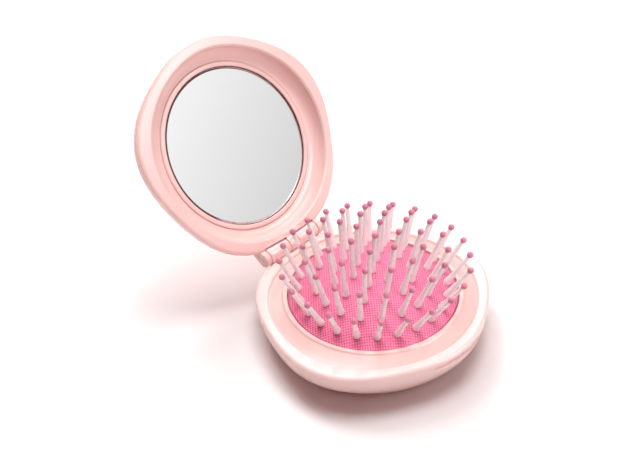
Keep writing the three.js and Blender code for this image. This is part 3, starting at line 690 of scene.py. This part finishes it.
def base_case_surface():
    """Bowl with foot ring, side wall, rim band and guide tube; scoop and notches are pressed into it."""
    wall = bowl_wall(0, RIM_HEIGHT - RIM_ROUND)
    foot = softened([
        (HAND_HOLE, FLOOR_THICKNESS, 0), (HAND_HOLE, 0, 0.35), (OUTLINE_RADIUS - WALL_DRAW, 0, 0.2),
        (*wall[4], 0)])[:-1]
    rim = rim_round(RIM_HEIGHT - RIM_ROUND, RIM_HEIGHT)
    ledge = BAND_INNER - 1
    inner = softened([
        (*rim[-1], 0), (BAND_INNER + 0.1, RIM_HEIGHT, 0.8), (BAND_INNER, BAND_FOOT, 0.1),
        (ledge, BAND_FOOT, 0.1), (ledge, BAND_FOOT - LEDGE_THICKNESS, 0.1), (CAVITY_RADIUS, 9.6, 0.3),
        (CAVITY_SHOULDER, 7.05, 1.0), (31.0, 3.7, 0.6),
        (GUIDE_OUTER, 3.3, 0.3), (GUIDE_OUTER, GUIDE_TOP, 0.15), (GUIDE_INNER, GUIDE_TOP, 0.15),
        (GUIDE_INNER, FLOOR_THICKNESS, 0.15), (HAND_HOLE, FLOOR_THICKNESS, 0)], 7)[1:-1]
    profile = filled(np.vstack([foot, wall[4:], rim, inner]), 0.6)
    grid = swollen(scooped(turned(profile, case_angles())))
    return surface(notched(grid, [(-13.45, -10.7), (-2.2, 2.2), (10.7, 13.45)]))


def scooped(grid):
    """Thumb scoop: a rod bent along the front wall is pressed in.

    Its radius is R sqrt(1 - (s/L)^2) at the arc length s.
    """
    reach, radius, depth = 13.0, 1.2, 1.05

    def rod(arc):
        return radius * np.sqrt(np.clip(1 - (arc / reach) ** 2, 0, 1))

    far = np.hypot(grid[..., 0], grid[..., 1])
    flat = np.stack([OUTLINE_RADIUS * np.arctan2(grid[..., 0], -grid[..., 1]), -far, grid[..., 2]], -1)
    centre = (-(OUTLINE_RADIUS + radius - depth), RIM_HEIGHT - 2.5)
    pressed = pushed_out(flat, centre, rod, lambda p: np.abs(p[..., 0]) < reach)
    out = grid.copy()
    out[..., :2] *= (pressed[..., 1] / flat[..., 1])[..., None]
    out[..., 2] = pressed[..., 2]
    return out


def deck_surface():
    """Dish, lip and bore: the dish rises as a cone, and its lip rolls over into the bore."""
    outer, lip, seat = BAND_INNER + 0.15, BEAD_OUTER + 0.1, BAND_FOOT + 0.1
    t = np.linspace(0, 1, 24)
    dish = np.stack([outer + (lip - outer) * t, DISH_FLOOR + (BEAD_TOP - 0.4 - DISH_FLOOR) * t], 1)
    bead = softened([
        (*dish[-1], 0), (BEAD_OUTER - 0.35, BEAD_TOP, 0.35), (BORE, BEAD_TOP, 0.45), (BORE, 11.3, 0.1),
        (29.8, 11.3, 0.1), (31.5, seat, 0.1), (outer, seat, 0.05), (outer, DISH_FLOOR, 0)])[1:-1]
    profile = filled(np.vstack([dish, bead]), 0.4)
    return surface(swollen(turned(profile, even_angles(360))))


class HAIRBRUSH_OT_base(bpy.types.Operator):
    """Base case with its knuckles, and the deck inside its rim"""

    bl_idname = "hairbrush.base"
    bl_label = "Base case and deck"

    def execute(self, context):
        plain = lid_plastic()
        light = context.scene.hairbrush_colours.base
        # Painted light: the base case gets a lighter copy of the lid plastic; the deck keeps the lid
        # plastic.
        painted_lighter_plastic = plastic("Base plastic painted lighter", light, scaled(light, 0.97), CASE_GLOSS)
        case = joined([base_case_surface(), knuckle(2.1, 10.7, -1), knuckle(-10.7, -2.1, -1)])
        dressed("base_case", placed(case), [painted_lighter_plastic], "base", "case_plastic", "base_shell")
        dressed("deck_ring", placed(deck_surface()), [plain], "base", "case_plastic", "base_deck")
        return {"FINISHED"}


class HAIRBRUSH_OT_hinge_pin(bpy.types.Operator):
    """Steel pin through the knuckles, with rounded ends"""

    bl_idname = "hairbrush.hinge_pin"
    bl_label = "Hinge pin"

    def execute(self, context):
        half, radius = 13.1, 0.75
        profile = softened([(0, -half, 0), (radius, -half, 0.25), (radius, half, 0.25), (0, half, 0)])
        grid = turned(filled(profile, 1.0, closed=False), even_angles(32))
        grid = np.stack([grid[..., 2], grid[..., 0] + HINGE_Y, grid[..., 1] + HINGE_Z], -1)
        shape = surface(grid, closed=False)
        dressed("steel_pin", placed(shape), [steel()], "base", "hinge_steel", "hinge_pin")
        return {"FINISHED"}


# Pieces of the pad

def dome(radius):
    """Crowned face of the cushion: a sphere cap of the crown's height over the dome radius."""
    sphere = (DOME_RADIUS ** 2 + CUSHION_CROWN ** 2) / (2 * CUSHION_CROWN)
    centre = CUSHION_EDGE + CUSHION_CROWN - sphere
    return centre + np.sqrt(sphere ** 2 - np.minimum(radius, DOME_RADIUS) ** 2)


def row_turns(row):
    """Angles of the pins of a row, evenly round the pad from the hinge side."""
    return math.pi / 2 + np.arange(ROW_COUNTS[row]) * 2 * math.pi / ROW_COUNTS[row]


def pin_ends(row):
    """Foot and ball of every pin of a row, in millimetres."""
    turn = row_turns(row)
    across = np.stack([np.cos(turn), np.sin(turn)], 1)
    foot = np.column_stack([ROW_FEET[row] * across, np.full(len(turn), float(dome(ROW_FEET[row])))])
    leant = ROW_BALLS[row] * across + np.array(PIN_LEAN)
    ball = np.column_stack([leant, np.full(len(turn), ROW_HEIGHTS[row])])
    return foot, ball


class HAIRBRUSH_OT_cushion(bpy.types.Operator):
    """Crowned air cushion: a cloth-faced rubber skin with a rolled edge, drawn in around each pin"""

    bl_idname = "hairbrush.cushion"
    bl_label = "Cushion"

    def execute(self, context):
        r = np.linspace(0, DOME_RADIUS - 0.4, 110)
        face = np.stack([r, dome(r)], 1)
        edge = softened([
            (*face[-1], 0), (CUSHION_RADIUS, CUSHION_EDGE + 0.05, 0.5), (CUSHION_RADIUS, 12.55, 0.2),
            (25.2, 12.55, 0.05), (25.2, 11.1, 0.1), (24.6, 11.1, 0.1), (24.6, 13.35, 0.4),
            (20, float(dome(20)) - CUSHION_SKIN, 0)])
        under = np.stack([r[::-1], dome(r[::-1]) - CUSHION_SKIN], 1)
        profile = np.vstack([face[:-1], filled(edge, 0.4, closed=False), under[under[:, 0] < 19.9]])
        grid = turned(profile, even_angles(380))
        feet = np.vstack([pin_ends(row)[0][:, :2] for row in range(len(ROW_COUNTS))])
        top = grid[:len(face)]
        dimple = context.scene.hairbrush_sizes.foot_dimple / MM
        for foot in feet:
            near = np.hypot(top[..., 0] - foot[0], top[..., 1] - foot[1])
            top[..., 2] -= dimple * np.exp(-(near / 1.7) ** 2)
        shape = surface(grid, closed=False)
        piece = dressed("air_cushion", placed(shape), [cushion_cloth()], "pad", "cushion_fabric", "cushion")
        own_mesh(piece)
        return {"FINISHED"}


class HAIRBRUSH_OT_carrier(bpy.types.Operator):
    """Pad carrier: flanged ring, clamp ring and the round push plate under the pad"""

    bl_idname = "hairbrush.carrier"
    bl_label = "Pad carrier and push plate"

    def execute(self, context):
        colour = context.scene.hairbrush_colours.inner
        inner = plastic("Carrier plastic", colour, scaled(colour, 0.9), 0.35, cloud=90.0)
        flange, inside, ledge, top = 28.1, 25.3, 23.7, 12.45
        ring = softened([
            (inside, PAD_BOTTOM, 0.15), (PAD_RADIUS, PAD_BOTTOM, 0.2), (PAD_RADIUS, 10.25, 0.1),
            (flange, 10.25, 0.15), (flange, 11.05, 0.15), (PAD_RADIUS, 11.05, 0.1), (PAD_RADIUS, top, 0.1),
            (inside, top, 0.1), (inside, 10.95, 0.05), (ledge, 10.95, 0.1), (ledge, 10.35, 0.1),
            (inside, 10.35, 0.05)], 5)
        shape = surface(turned(ring, even_angles(180)))
        dressed("carrier_ring", placed(shape), [inner], "pad", "inner_plastic", "pad_ring")
        low, high, near, far = 11, 12.2, 23.75, 24.55
        clamp = softened([(near, low, 0.15), (far, low, 0.15), (far, high, 0.2), (near, high, 0.2)], 5)
        shape = surface(turned(clamp, even_angles(144)))
        dressed("wedge_ring", placed(shape), [inner], "pad", "inner_plastic", "clamp_ring")
        s = np.linspace(0, 1, 30)
        dish = np.stack([23.6 * s, PAD_BOTTOM + 0.3 - 0.25 * s ** 2], 1)
        edge, back = 25.15, 10.3
        rim = softened([
            (*dish[-1], 0), (24.1, PAD_BOTTOM, 0.3), (edge, PAD_BOTTOM, 0.25), (edge, back, 0.1),
            (0, back, 0)], 7)[1:]
        shape = surface(turned(np.vstack([dish, rim]), even_angles(180)), closed=False)
        dressed("thumb_plate", placed(shape), [inner], "pad", "inner_plastic", "push_plate")
        return {"FINISHED"}


def pin_shape(length, ball):
    """Pin along Z: foot, tapered shaft and ball, as two turned surfaces and the material of each face."""
    shaft = softened([
        (0, -0.6, 0), (0.75, -0.5, 0.2), (1.0, -0.05, 0.3), (1.2, 0.55, 0.4), (1.08, 1.5, 0.5),
        (0.88, 3.2, 1.0), (0.78, 6.5, 1.0), (0.64, length - 0.9, 0.3), (0.55, length - 0.3, 0.05),
        (0, length - 0.2, 0)], 3)
    a = np.linspace(-math.pi / 2, math.pi / 2, 11)
    drip = 1 + 0.1 * np.clip(-np.sin(a), 0, 1) ** 3
    tip = np.stack([ball * np.cos(a), length + ball * np.sin(a) * drip], 1)
    tip[0, 0] = tip[-1, 0] = shaft[0, 0] = shaft[-1, 0] = 0
    parts = [surface(turned(shape, even_angles(16)), closed=False) for shape in (shaft, tip)]
    indices = [0] * len(parts[0][1]) + [1] * len(parts[1][1])
    points, faces = joined(parts)
    return points, faces, indices


def leaning(foot, ball):
    """Rotation that takes Z to the direction from foot to ball."""
    z = (ball - foot) / np.linalg.norm(ball - foot)
    side = np.array([-z[1], z[0], 0.0])
    x = side / np.linalg.norm(side) if np.linalg.norm(side) > SMALL else np.array([1.0, 0.0, 0.0])
    return np.stack([x, np.cross(z, x), z], 1)


def pins_of(row, picks):
    """Placed shape of the picked pins of a row, and its material indices."""
    feet, balls = pin_ends(row)
    length = float(np.linalg.norm(balls[0] - feet[0]))
    points, faces, indices = pin_shape(length, bpy.context.scene.hairbrush_sizes.ball_radius / MM)
    parts = [(points @ leaning(feet[i], balls[i]).T + feet[i], faces) for i in picks]
    return placed(joined(parts)), indices * len(parts)


class HAIRBRUSH_OT_pins(bpy.types.Operator):
    """Rows of nylon pins with dipped balls; each pin of the outer row is a piece of its own"""

    bl_idname = "hairbrush.pins"
    bl_label = "Pins"

    def execute(self, context):
        colours = context.scene.hairbrush_colours
        materials = [nylon(colours.nylon), ball_rubber(colours.ball)]
        for row in range(OUTER_ROW):
            shape, indices = pins_of(row, range(ROW_COUNTS[row]))
            names = [f"pin_row{row}_{i + 1}" for i in range(ROW_COUNTS[row])] if row else ["pin_centre"]
            dressed(f"row_{row}_pins", shape, materials, f"row_{row}", "pin_nylon", *names, indices=indices)
        for i, turn in enumerate(row_turns(OUTER_ROW)):
            shape, indices = pins_of(OUTER_ROW, [i])
            piece = dressed(f"outer_pin_{i + 1}", shape, materials, "row_4", "pin_nylon",
                            f"pins_row4_{i // PINS_PER_NODE + 1}", indices=indices)
            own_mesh(piece)
        return {"FINISHED"}


# Pieces of the lid

def lid_case_surface():
    """Outer bowl of the lid: crowned back, side wall, rim band and the room for the base knuckles."""
    rim_end = LID_MOUTH + RIM_ROUND
    wall = bowl_wall(LID_TOP, rim_end, 26)
    s = np.linspace(0, 1, 30)
    back = np.stack([(OUTLINE_RADIUS - WALL_DRAW) * s, LID_TOP + 0.4 * (1 - s ** 2)], 1)
    rim = rim_round(rim_end, LID_MOUTH)
    ceiling, rib = 22.7, 21.3
    inner = softened([
        (*rim[-1], 0), (BAND_INNER, LID_MOUTH, 0.6), (BAND_INNER, 14.6, 0.1),
        (CAVITY_RADIUS, 15.9, 0.3), (CAVITY_SHOULDER, 18.0, 1.0), (30.9, 20.9, 1.0), (25.4, ceiling, 0.3),
        (25.4, rib, 0.1), (24, rib, 0.1), (24, ceiling, 0.1), (0, ceiling + 0.2, 0)], 6)[1:]
    profile = filled(np.vstack([back[:-1], wall, rim, inner]), 0.8, closed=False)
    profile[0, 0] = profile[-1, 0] = 0
    grid = swollen(turned(profile, case_angles()))
    return surface(notched(grid, [(-11.0, -1.75), (1.75, 11.0)], NOTCH + 0.35), closed=False)


def liner_surface():
    """Tray: seat of the mirror, shelf of the bezel and channel, flat near the bezel and steep at the mouth.

    The channel is the curve r = 28.3 + reach (1 - (1-t)^2), z = floor - depth t^2, for t from 0 to 1.
    """
    shelf, lip, seat_floor, back, pocket = MIRROR_FACE + 0.05, 13.55, 20.15, 21.2, MIRROR_RADIUS + 0.15
    t = np.linspace(0, 1, 26)
    channel = np.stack([28.3 + 4.1 * (1 - (1 - t) ** 2), shelf - 0.35 - (shelf - 0.35 - lip) * t ** 2], 1)
    seat = softened([
        (0, seat_floor, 0), (pocket, seat_floor, 0.1), (pocket, shelf, 0.1), (28.15, shelf, 0.1),
        (*channel[0], 0)])
    outer = softened([
        (*channel[-1], 0), (32.7, lip, 0.1), (32.7, 14.75, 0.1), (32.9, 15.2, 0.2), (32.9, 16.1, 0.3),
        (30.2, 19.6, 0.5), (29.3, 19.7, 0.3), (28.3, back, 0.3), (0, back, 0)])[1:]
    profile = filled(np.vstack([seat[:-1], channel, outer]), 0.5, closed=False)
    profile[0, 0] = profile[-1, 0] = 0
    return surface(swollen(turned(profile, even_angles(360))), closed=False)


class HAIRBRUSH_OT_lid(bpy.types.Operator):
    """Lid case with its ears, the liner tray and the bezel"""

    bl_idname = "hairbrush.lid"
    bl_label = "Lid case, liner and bezel"

    def execute(self, context):
        plain = lid_plastic()
        ears = [knuckle(-1.9, 1.9, 1), knuckle(11, 13, 1), knuckle(-13, -11, 1)]
        case = joined([lid_case_surface(), *ears])
        dressed("lid_case", opened(case), [plain], "lid", "case_plastic", "lid_shell")
        dressed("lid_tray", opened(liner_surface()), [plain], "lid", "case_plastic", "lid_liner")
        back, front = MIRROR_FACE - 0.05, MIRROR_FACE - 0.7
        bezel = softened([
            (26.5, back, 0.05), (26.5, front, 0.3), (28.0, front, 0.5), (28.1, back + 0.1, 0.1)], 9)
        shape = surface(turned(bezel, even_angles(300)))
        dressed("bezel_ring", opened(shape), [plain], "lid", "case_plastic", "mirror_bezel")
        return {"FINISHED"}


class HAIRBRUSH_OT_mirror(bpy.types.Operator):
    """Mirror glass with its satin bevel and painted dark edge, and the foam tape behind it"""

    bl_idname = "hairbrush.mirror"
    bl_label = "Mirror and tape"

    def execute(self, context):
        ground, back, tape_back, tape_radius = 26.28, 19.6, 20.1, 25
        clear = ground - context.scene.hairbrush_sizes.mirror_bevel / MM
        face = np.stack([np.linspace(0, clear, 12), np.full(12, MIRROR_FACE)], 1)
        side = softened([
            (clear, MIRROR_FACE, 0), (ground, MIRROR_FACE + 0.12, 0.02),
            (MIRROR_RADIUS, MIRROR_FACE + 0.25, 0.05), (MIRROR_RADIUS, back, 0.1), (0, back, 0)], 5)[1:]
        points, faces = surface(turned(np.vstack([face, side]), even_angles(300)), closed=False)
        radius = np.hypot(points[:, 0], points[:, 1])
        centre_radius = np.array([radius[list(f)].mean() for f in faces])
        height = np.array([points[list(f), 2].mean() for f in faces])
        # Painted shade and reflection: the ground edge and the sides of the glass get the painted dark
        # edge.
        edge = (centre_radius > ground) | (height > MIRROR_FACE + 0.2)
        bevelled = (centre_radius > clear) & ~edge
        glass = [silvered_glass("Silvered glass", 0.012, 0.035), painted_dark_edge(),
                 silvered_glass("Satin bevel", 0.1, 0.15)]
        piece = dressed("looking_glass", opened((points, faces)), glass, "lid", "mirror_glass", "mirror",
                        indices=edge + 2 * bevelled)
        piece.data.polygons.foreach_set("use_smooth", centre_radius > ground)
        tape = softened([
            (0, back + 0.05, 0), (tape_radius, back + 0.05, 0.1), (tape_radius, tape_back, 0.1),
            (0, tape_back, 0)], 4)
        shape = surface(turned(tape, even_angles(120)), closed=False)
        dressed("foam_disc", opened(shape), [foam()], "lid", "foam_tape", "mirror_tape")
        return {"FINISHED"}


# Stage

def area_light(name, place, aim, size, power):
    """White disc lamp at a place, which faces the point aim."""
    light = bpy.data.lights.new(name, "AREA")
    light.shape, light.size, light.energy = "DISK", size, power
    lamp = bpy.data.objects.new(name, light)
    bpy.context.scene.collection.objects.link(lamp)
    z = np.array(place, float) - np.array(aim, float)
    z /= np.linalg.norm(z)
    x = np.cross([0.0, 1.0, 0.02], z)
    x /= np.linalg.norm(x)
    turn = np.stack([x, np.cross(z, x), z], 1)
    lamp.matrix_world = Matrix.LocRotScale(place, Matrix(turn.tolist()), None)
    return lamp


def flagged(lamp, piece, state):
    """Keeps the lamp's light off the piece (EXCLUDE) or on it alone (INCLUDE), as flags on stands do."""
    listed = bpy.data.collections.new(lamp.name + " flags")
    listed.objects.link(piece)
    listed.collection_objects[0].light_linking.link_state = state
    lamp.light_linking.receiver_collection = listed


def camera(sizes):
    """Camera at the photograph's place: turned about Z, pitched down, then rolled about the view line."""
    turn, pitch, roll = np.radians([-43.25, 36.51, -3.55])
    back = np.array([math.sin(turn) * math.cos(pitch), -math.cos(turn) * math.cos(pitch), math.sin(pitch)])
    right = np.array([math.cos(turn), math.sin(turn), 0.0])
    up = np.cross(back, right)
    c, s = math.cos(roll), math.sin(roll)
    axes = np.stack([c * right + s * up, c * up - s * right, back], 1)
    data = bpy.data.cameras.new("Camera")
    data.lens, data.sensor_width = sizes.camera_lens, 36.0
    data.clip_start, data.clip_end = 0.01, 20.0
    made = bpy.data.objects.new("Camera", data)
    bpy.context.scene.collection.objects.link(made)
    place = np.array([-155.11, -140.41, 192.25]) * MM + np.array([0.0, PAD_Y, 0.0])
    made.matrix_world = Matrix.LocRotScale(place, Matrix(axes.tolist()), None)
    bpy.context.scene.camera = made


def reflector():
    """Bright card beside the camera that the mirror reflects; it darkens from one corner to the other."""
    material, tree, bsdf = shader("Reflector card")
    place = add(tree, "ShaderNodeTexCoord")
    parts = add(tree, "ShaderNodeSeparateXYZ")
    slope = add(tree, "ShaderNodeMath", {1: -0.6}, operation="MULTIPLY_ADD")
    fade = add(tree, "ShaderNodeMapRange", {"From Min": -0.02, "From Max": 0.85})
    tone = add(tree, "ShaderNodeMix", {"A": (0.45, 0.455, 0.455, 1), "B": WHITE}, data_type="RGBA")
    wire(
        tree, (place, "Object", parts, "Vector"), (parts, "X", slope, 0), (parts, "Z", slope, 2),
        (slope, "Value", fade, "Value"), (fade, "Result", tone, "Factor"),
        (tone, "Result", bsdf, "Emission Color"))
    fill(bsdf, {"Emission Strength": 1.55, "Base Color": (0.05, 0.05, 0.05, 1), "Roughness": 1.0})
    middle, along, up = np.array([0.6, -0.87, 0.45]), np.array([0.82, 0.57, 0.0]), np.array([0.0, 0.0, 1.0])
    half, low, high = 0.3, -0.35, 0.28
    corners = np.array([
        middle + across * along + rise * up
        for across, rise in ((-half, low), (half, low), (half, high), (-half, high))])
    card = new_piece("reflector_card", corners, [[0, 1, 2, 3]], [material])
    card.visible_camera = False


def table_paint(colour):
    """White table with the faintest mottling; far from the brush it glows, so that it has no dark end."""
    material, tree, bsdf = shader("White table")
    place = add(tree, "ShaderNodeTexCoord")
    noise = add(tree, "ShaderNodeTexNoise", {"Scale": 12.0, "Detail": 3.0})
    mix = add(tree, "ShaderNodeMix", {
        "A": opaque(colour), "B": opaque(scaled(colour, 0.985))}, data_type="RGBA")
    reach = add(tree, "ShaderNodeVectorMath", operation="LENGTH")
    far = add(tree, "ShaderNodeMapRange", {"From Min": 0.45, "From Max": 1.5, "To Max": 0.9},
              interpolation_type="SMOOTHSTEP")
    wire(
        tree, (place, "Object", noise, "Vector"), (noise, "Fac", mix, "Factor"),
        (mix, "Result", bsdf, "Base Color"), (place, "Object", reach, 0), (reach, "Value", far, "Value"),
        (far, "Result", bsdf, "Emission Strength"))
    fill(bsdf, {"Emission Color": WHITE, "Roughness": 0.6, "Specular IOR Level": 0.2})
    return material


def studio_air():
    """Dim warm light from all round, behind a pale wall that only the camera sees."""
    world = bpy.data.worlds.new("Studio")
    world.use_nodes = True
    tree = world.node_tree
    air = fill(tree.nodes["Background"], {"Color": (1.0, 0.38, 0.36, 1), "Strength": 0.17})
    wall = add(tree, "ShaderNodeBackground", {"Color": (0.93, 0.93, 0.93, 1), "Strength": 1.0})
    path = add(tree, "ShaderNodeLightPath")
    both = add(tree, "ShaderNodeMixShader")
    wire(
        tree, (path, "Is Camera Ray", both, "Fac"), (air, "Background", both, 1),
        (wall, "Background", both, 2), (both, "Shader", tree.nodes["World Output"], "Surface"))
    return world


class HAIRBRUSH_OT_stage(bpy.types.Operator):
    """White table, soft studio light, the card in the mirror and the camera"""

    bl_idname = "hairbrush.stage"
    bl_label = "Stage, light and camera"

    def execute(self, context):
        scene = context.scene
        half = 3.0
        corners = np.array([[-half, -half, 0], [half, -half, 0], [half, half, 0], [-half, half, 0]])
        paint = table_paint(scene.hairbrush_colours.floor)
        floor = new_piece("table_top", corners, [[0, 1, 2, 3]], [paint])
        scene.world = studio_air()
        area_light("Top softbox", (0.2, 0.3, 1.1), (0, 0, 0), 0.85, 6.5)
        for name, y, power in (("Far table", 0.8, 8.5), ("Near table", 0.0, 3.5)):
            lamp = area_light(name + " softbox", (0.3, y, 1.0), (0, 0, 0), 0.5, power)
            flagged(lamp, floor, "INCLUDE")
        for name, place, power in (("Overhead", (0.0, 0.0, 1.2), 7.6), ("Front", (0.1, -0.95, 0.7), 4.2)):
            lamp = area_light(name + " softbox", place, (0, 0, 0.03), 0.85, power)
            lamp.visible_glossy = False
            flagged(lamp, floor, "EXCLUDE")
        area_light("Back softbox", (0.66, 0.7, 0.72), (0, 0, 0.02), 1.0, 10.0).visible_diffuse = False
        window = area_light("Window softbox", (0.42, -0.66, 0.78), (0, 0, 0.02), 0.6, 6.0)
        window.visible_diffuse = False
        flagged(window, bpy.data.objects["looking_glass"], "EXCLUDE")
        area_light("Low softbox", (0.383, -0.285, 0.03), (0, 0.04, 0.04), 0.19, 0.2).visible_diffuse = False
        reflector()
        scene.view_settings.view_transform = "Standard"
        camera(scene.hairbrush_sizes)
        return {"FINISHED"}


class HAIRBRUSH_PT_panel(bpy.types.Panel):
    """Sizes, colours and the steps that build the brush"""

    bl_idname = "HAIRBRUSH_PT_panel"
    bl_label = "Folding Hairbrush"
    bl_space_type = "VIEW_3D"
    bl_region_type = "UI"
    bl_category = "Hairbrush"

    def draw(self, context):
        column = self.layout.column()
        for group_name in ("hairbrush_sizes", "hairbrush_colours"):
            values = getattr(context.scene, group_name)
            for key in values.__annotations__:
                column.prop(values, key)
        for step in STEPS:
            column.operator(step.bl_idname)


STEPS = (
    HAIRBRUSH_OT_base,
    HAIRBRUSH_OT_hinge_pin,
    HAIRBRUSH_OT_carrier,
    HAIRBRUSH_OT_cushion,
    HAIRBRUSH_OT_pins,
    HAIRBRUSH_OT_lid,
    HAIRBRUSH_OT_mirror,
    HAIRBRUSH_OT_stage,
)
CLASSES = (HairbrushSizes, HairbrushColours, *STEPS, HAIRBRUSH_PT_panel)


def register():
    for one in CLASSES:
        bpy.utils.register_class(one)
    bpy.types.Scene.hairbrush_sizes = PointerProperty(type=HairbrushSizes)
    bpy.types.Scene.hairbrush_colours = PointerProperty(type=HairbrushColours)


def unregister():
    del bpy.types.Scene.hairbrush_colours
    del bpy.types.Scene.hairbrush_sizes
    for one in reversed(CLASSES):
        bpy.utils.unregister_class(one)


def main():
    register()
    bpy.ops.hairbrush.base()
    bpy.ops.hairbrush.hinge_pin()
    bpy.ops.hairbrush.carrier()
    bpy.ops.hairbrush.cushion()
    bpy.ops.hairbrush.pins()
    bpy.ops.hairbrush.lid()
    bpy.ops.hairbrush.mirror()
    bpy.ops.hairbrush.stage()


if __name__ == "__main__":
    main()
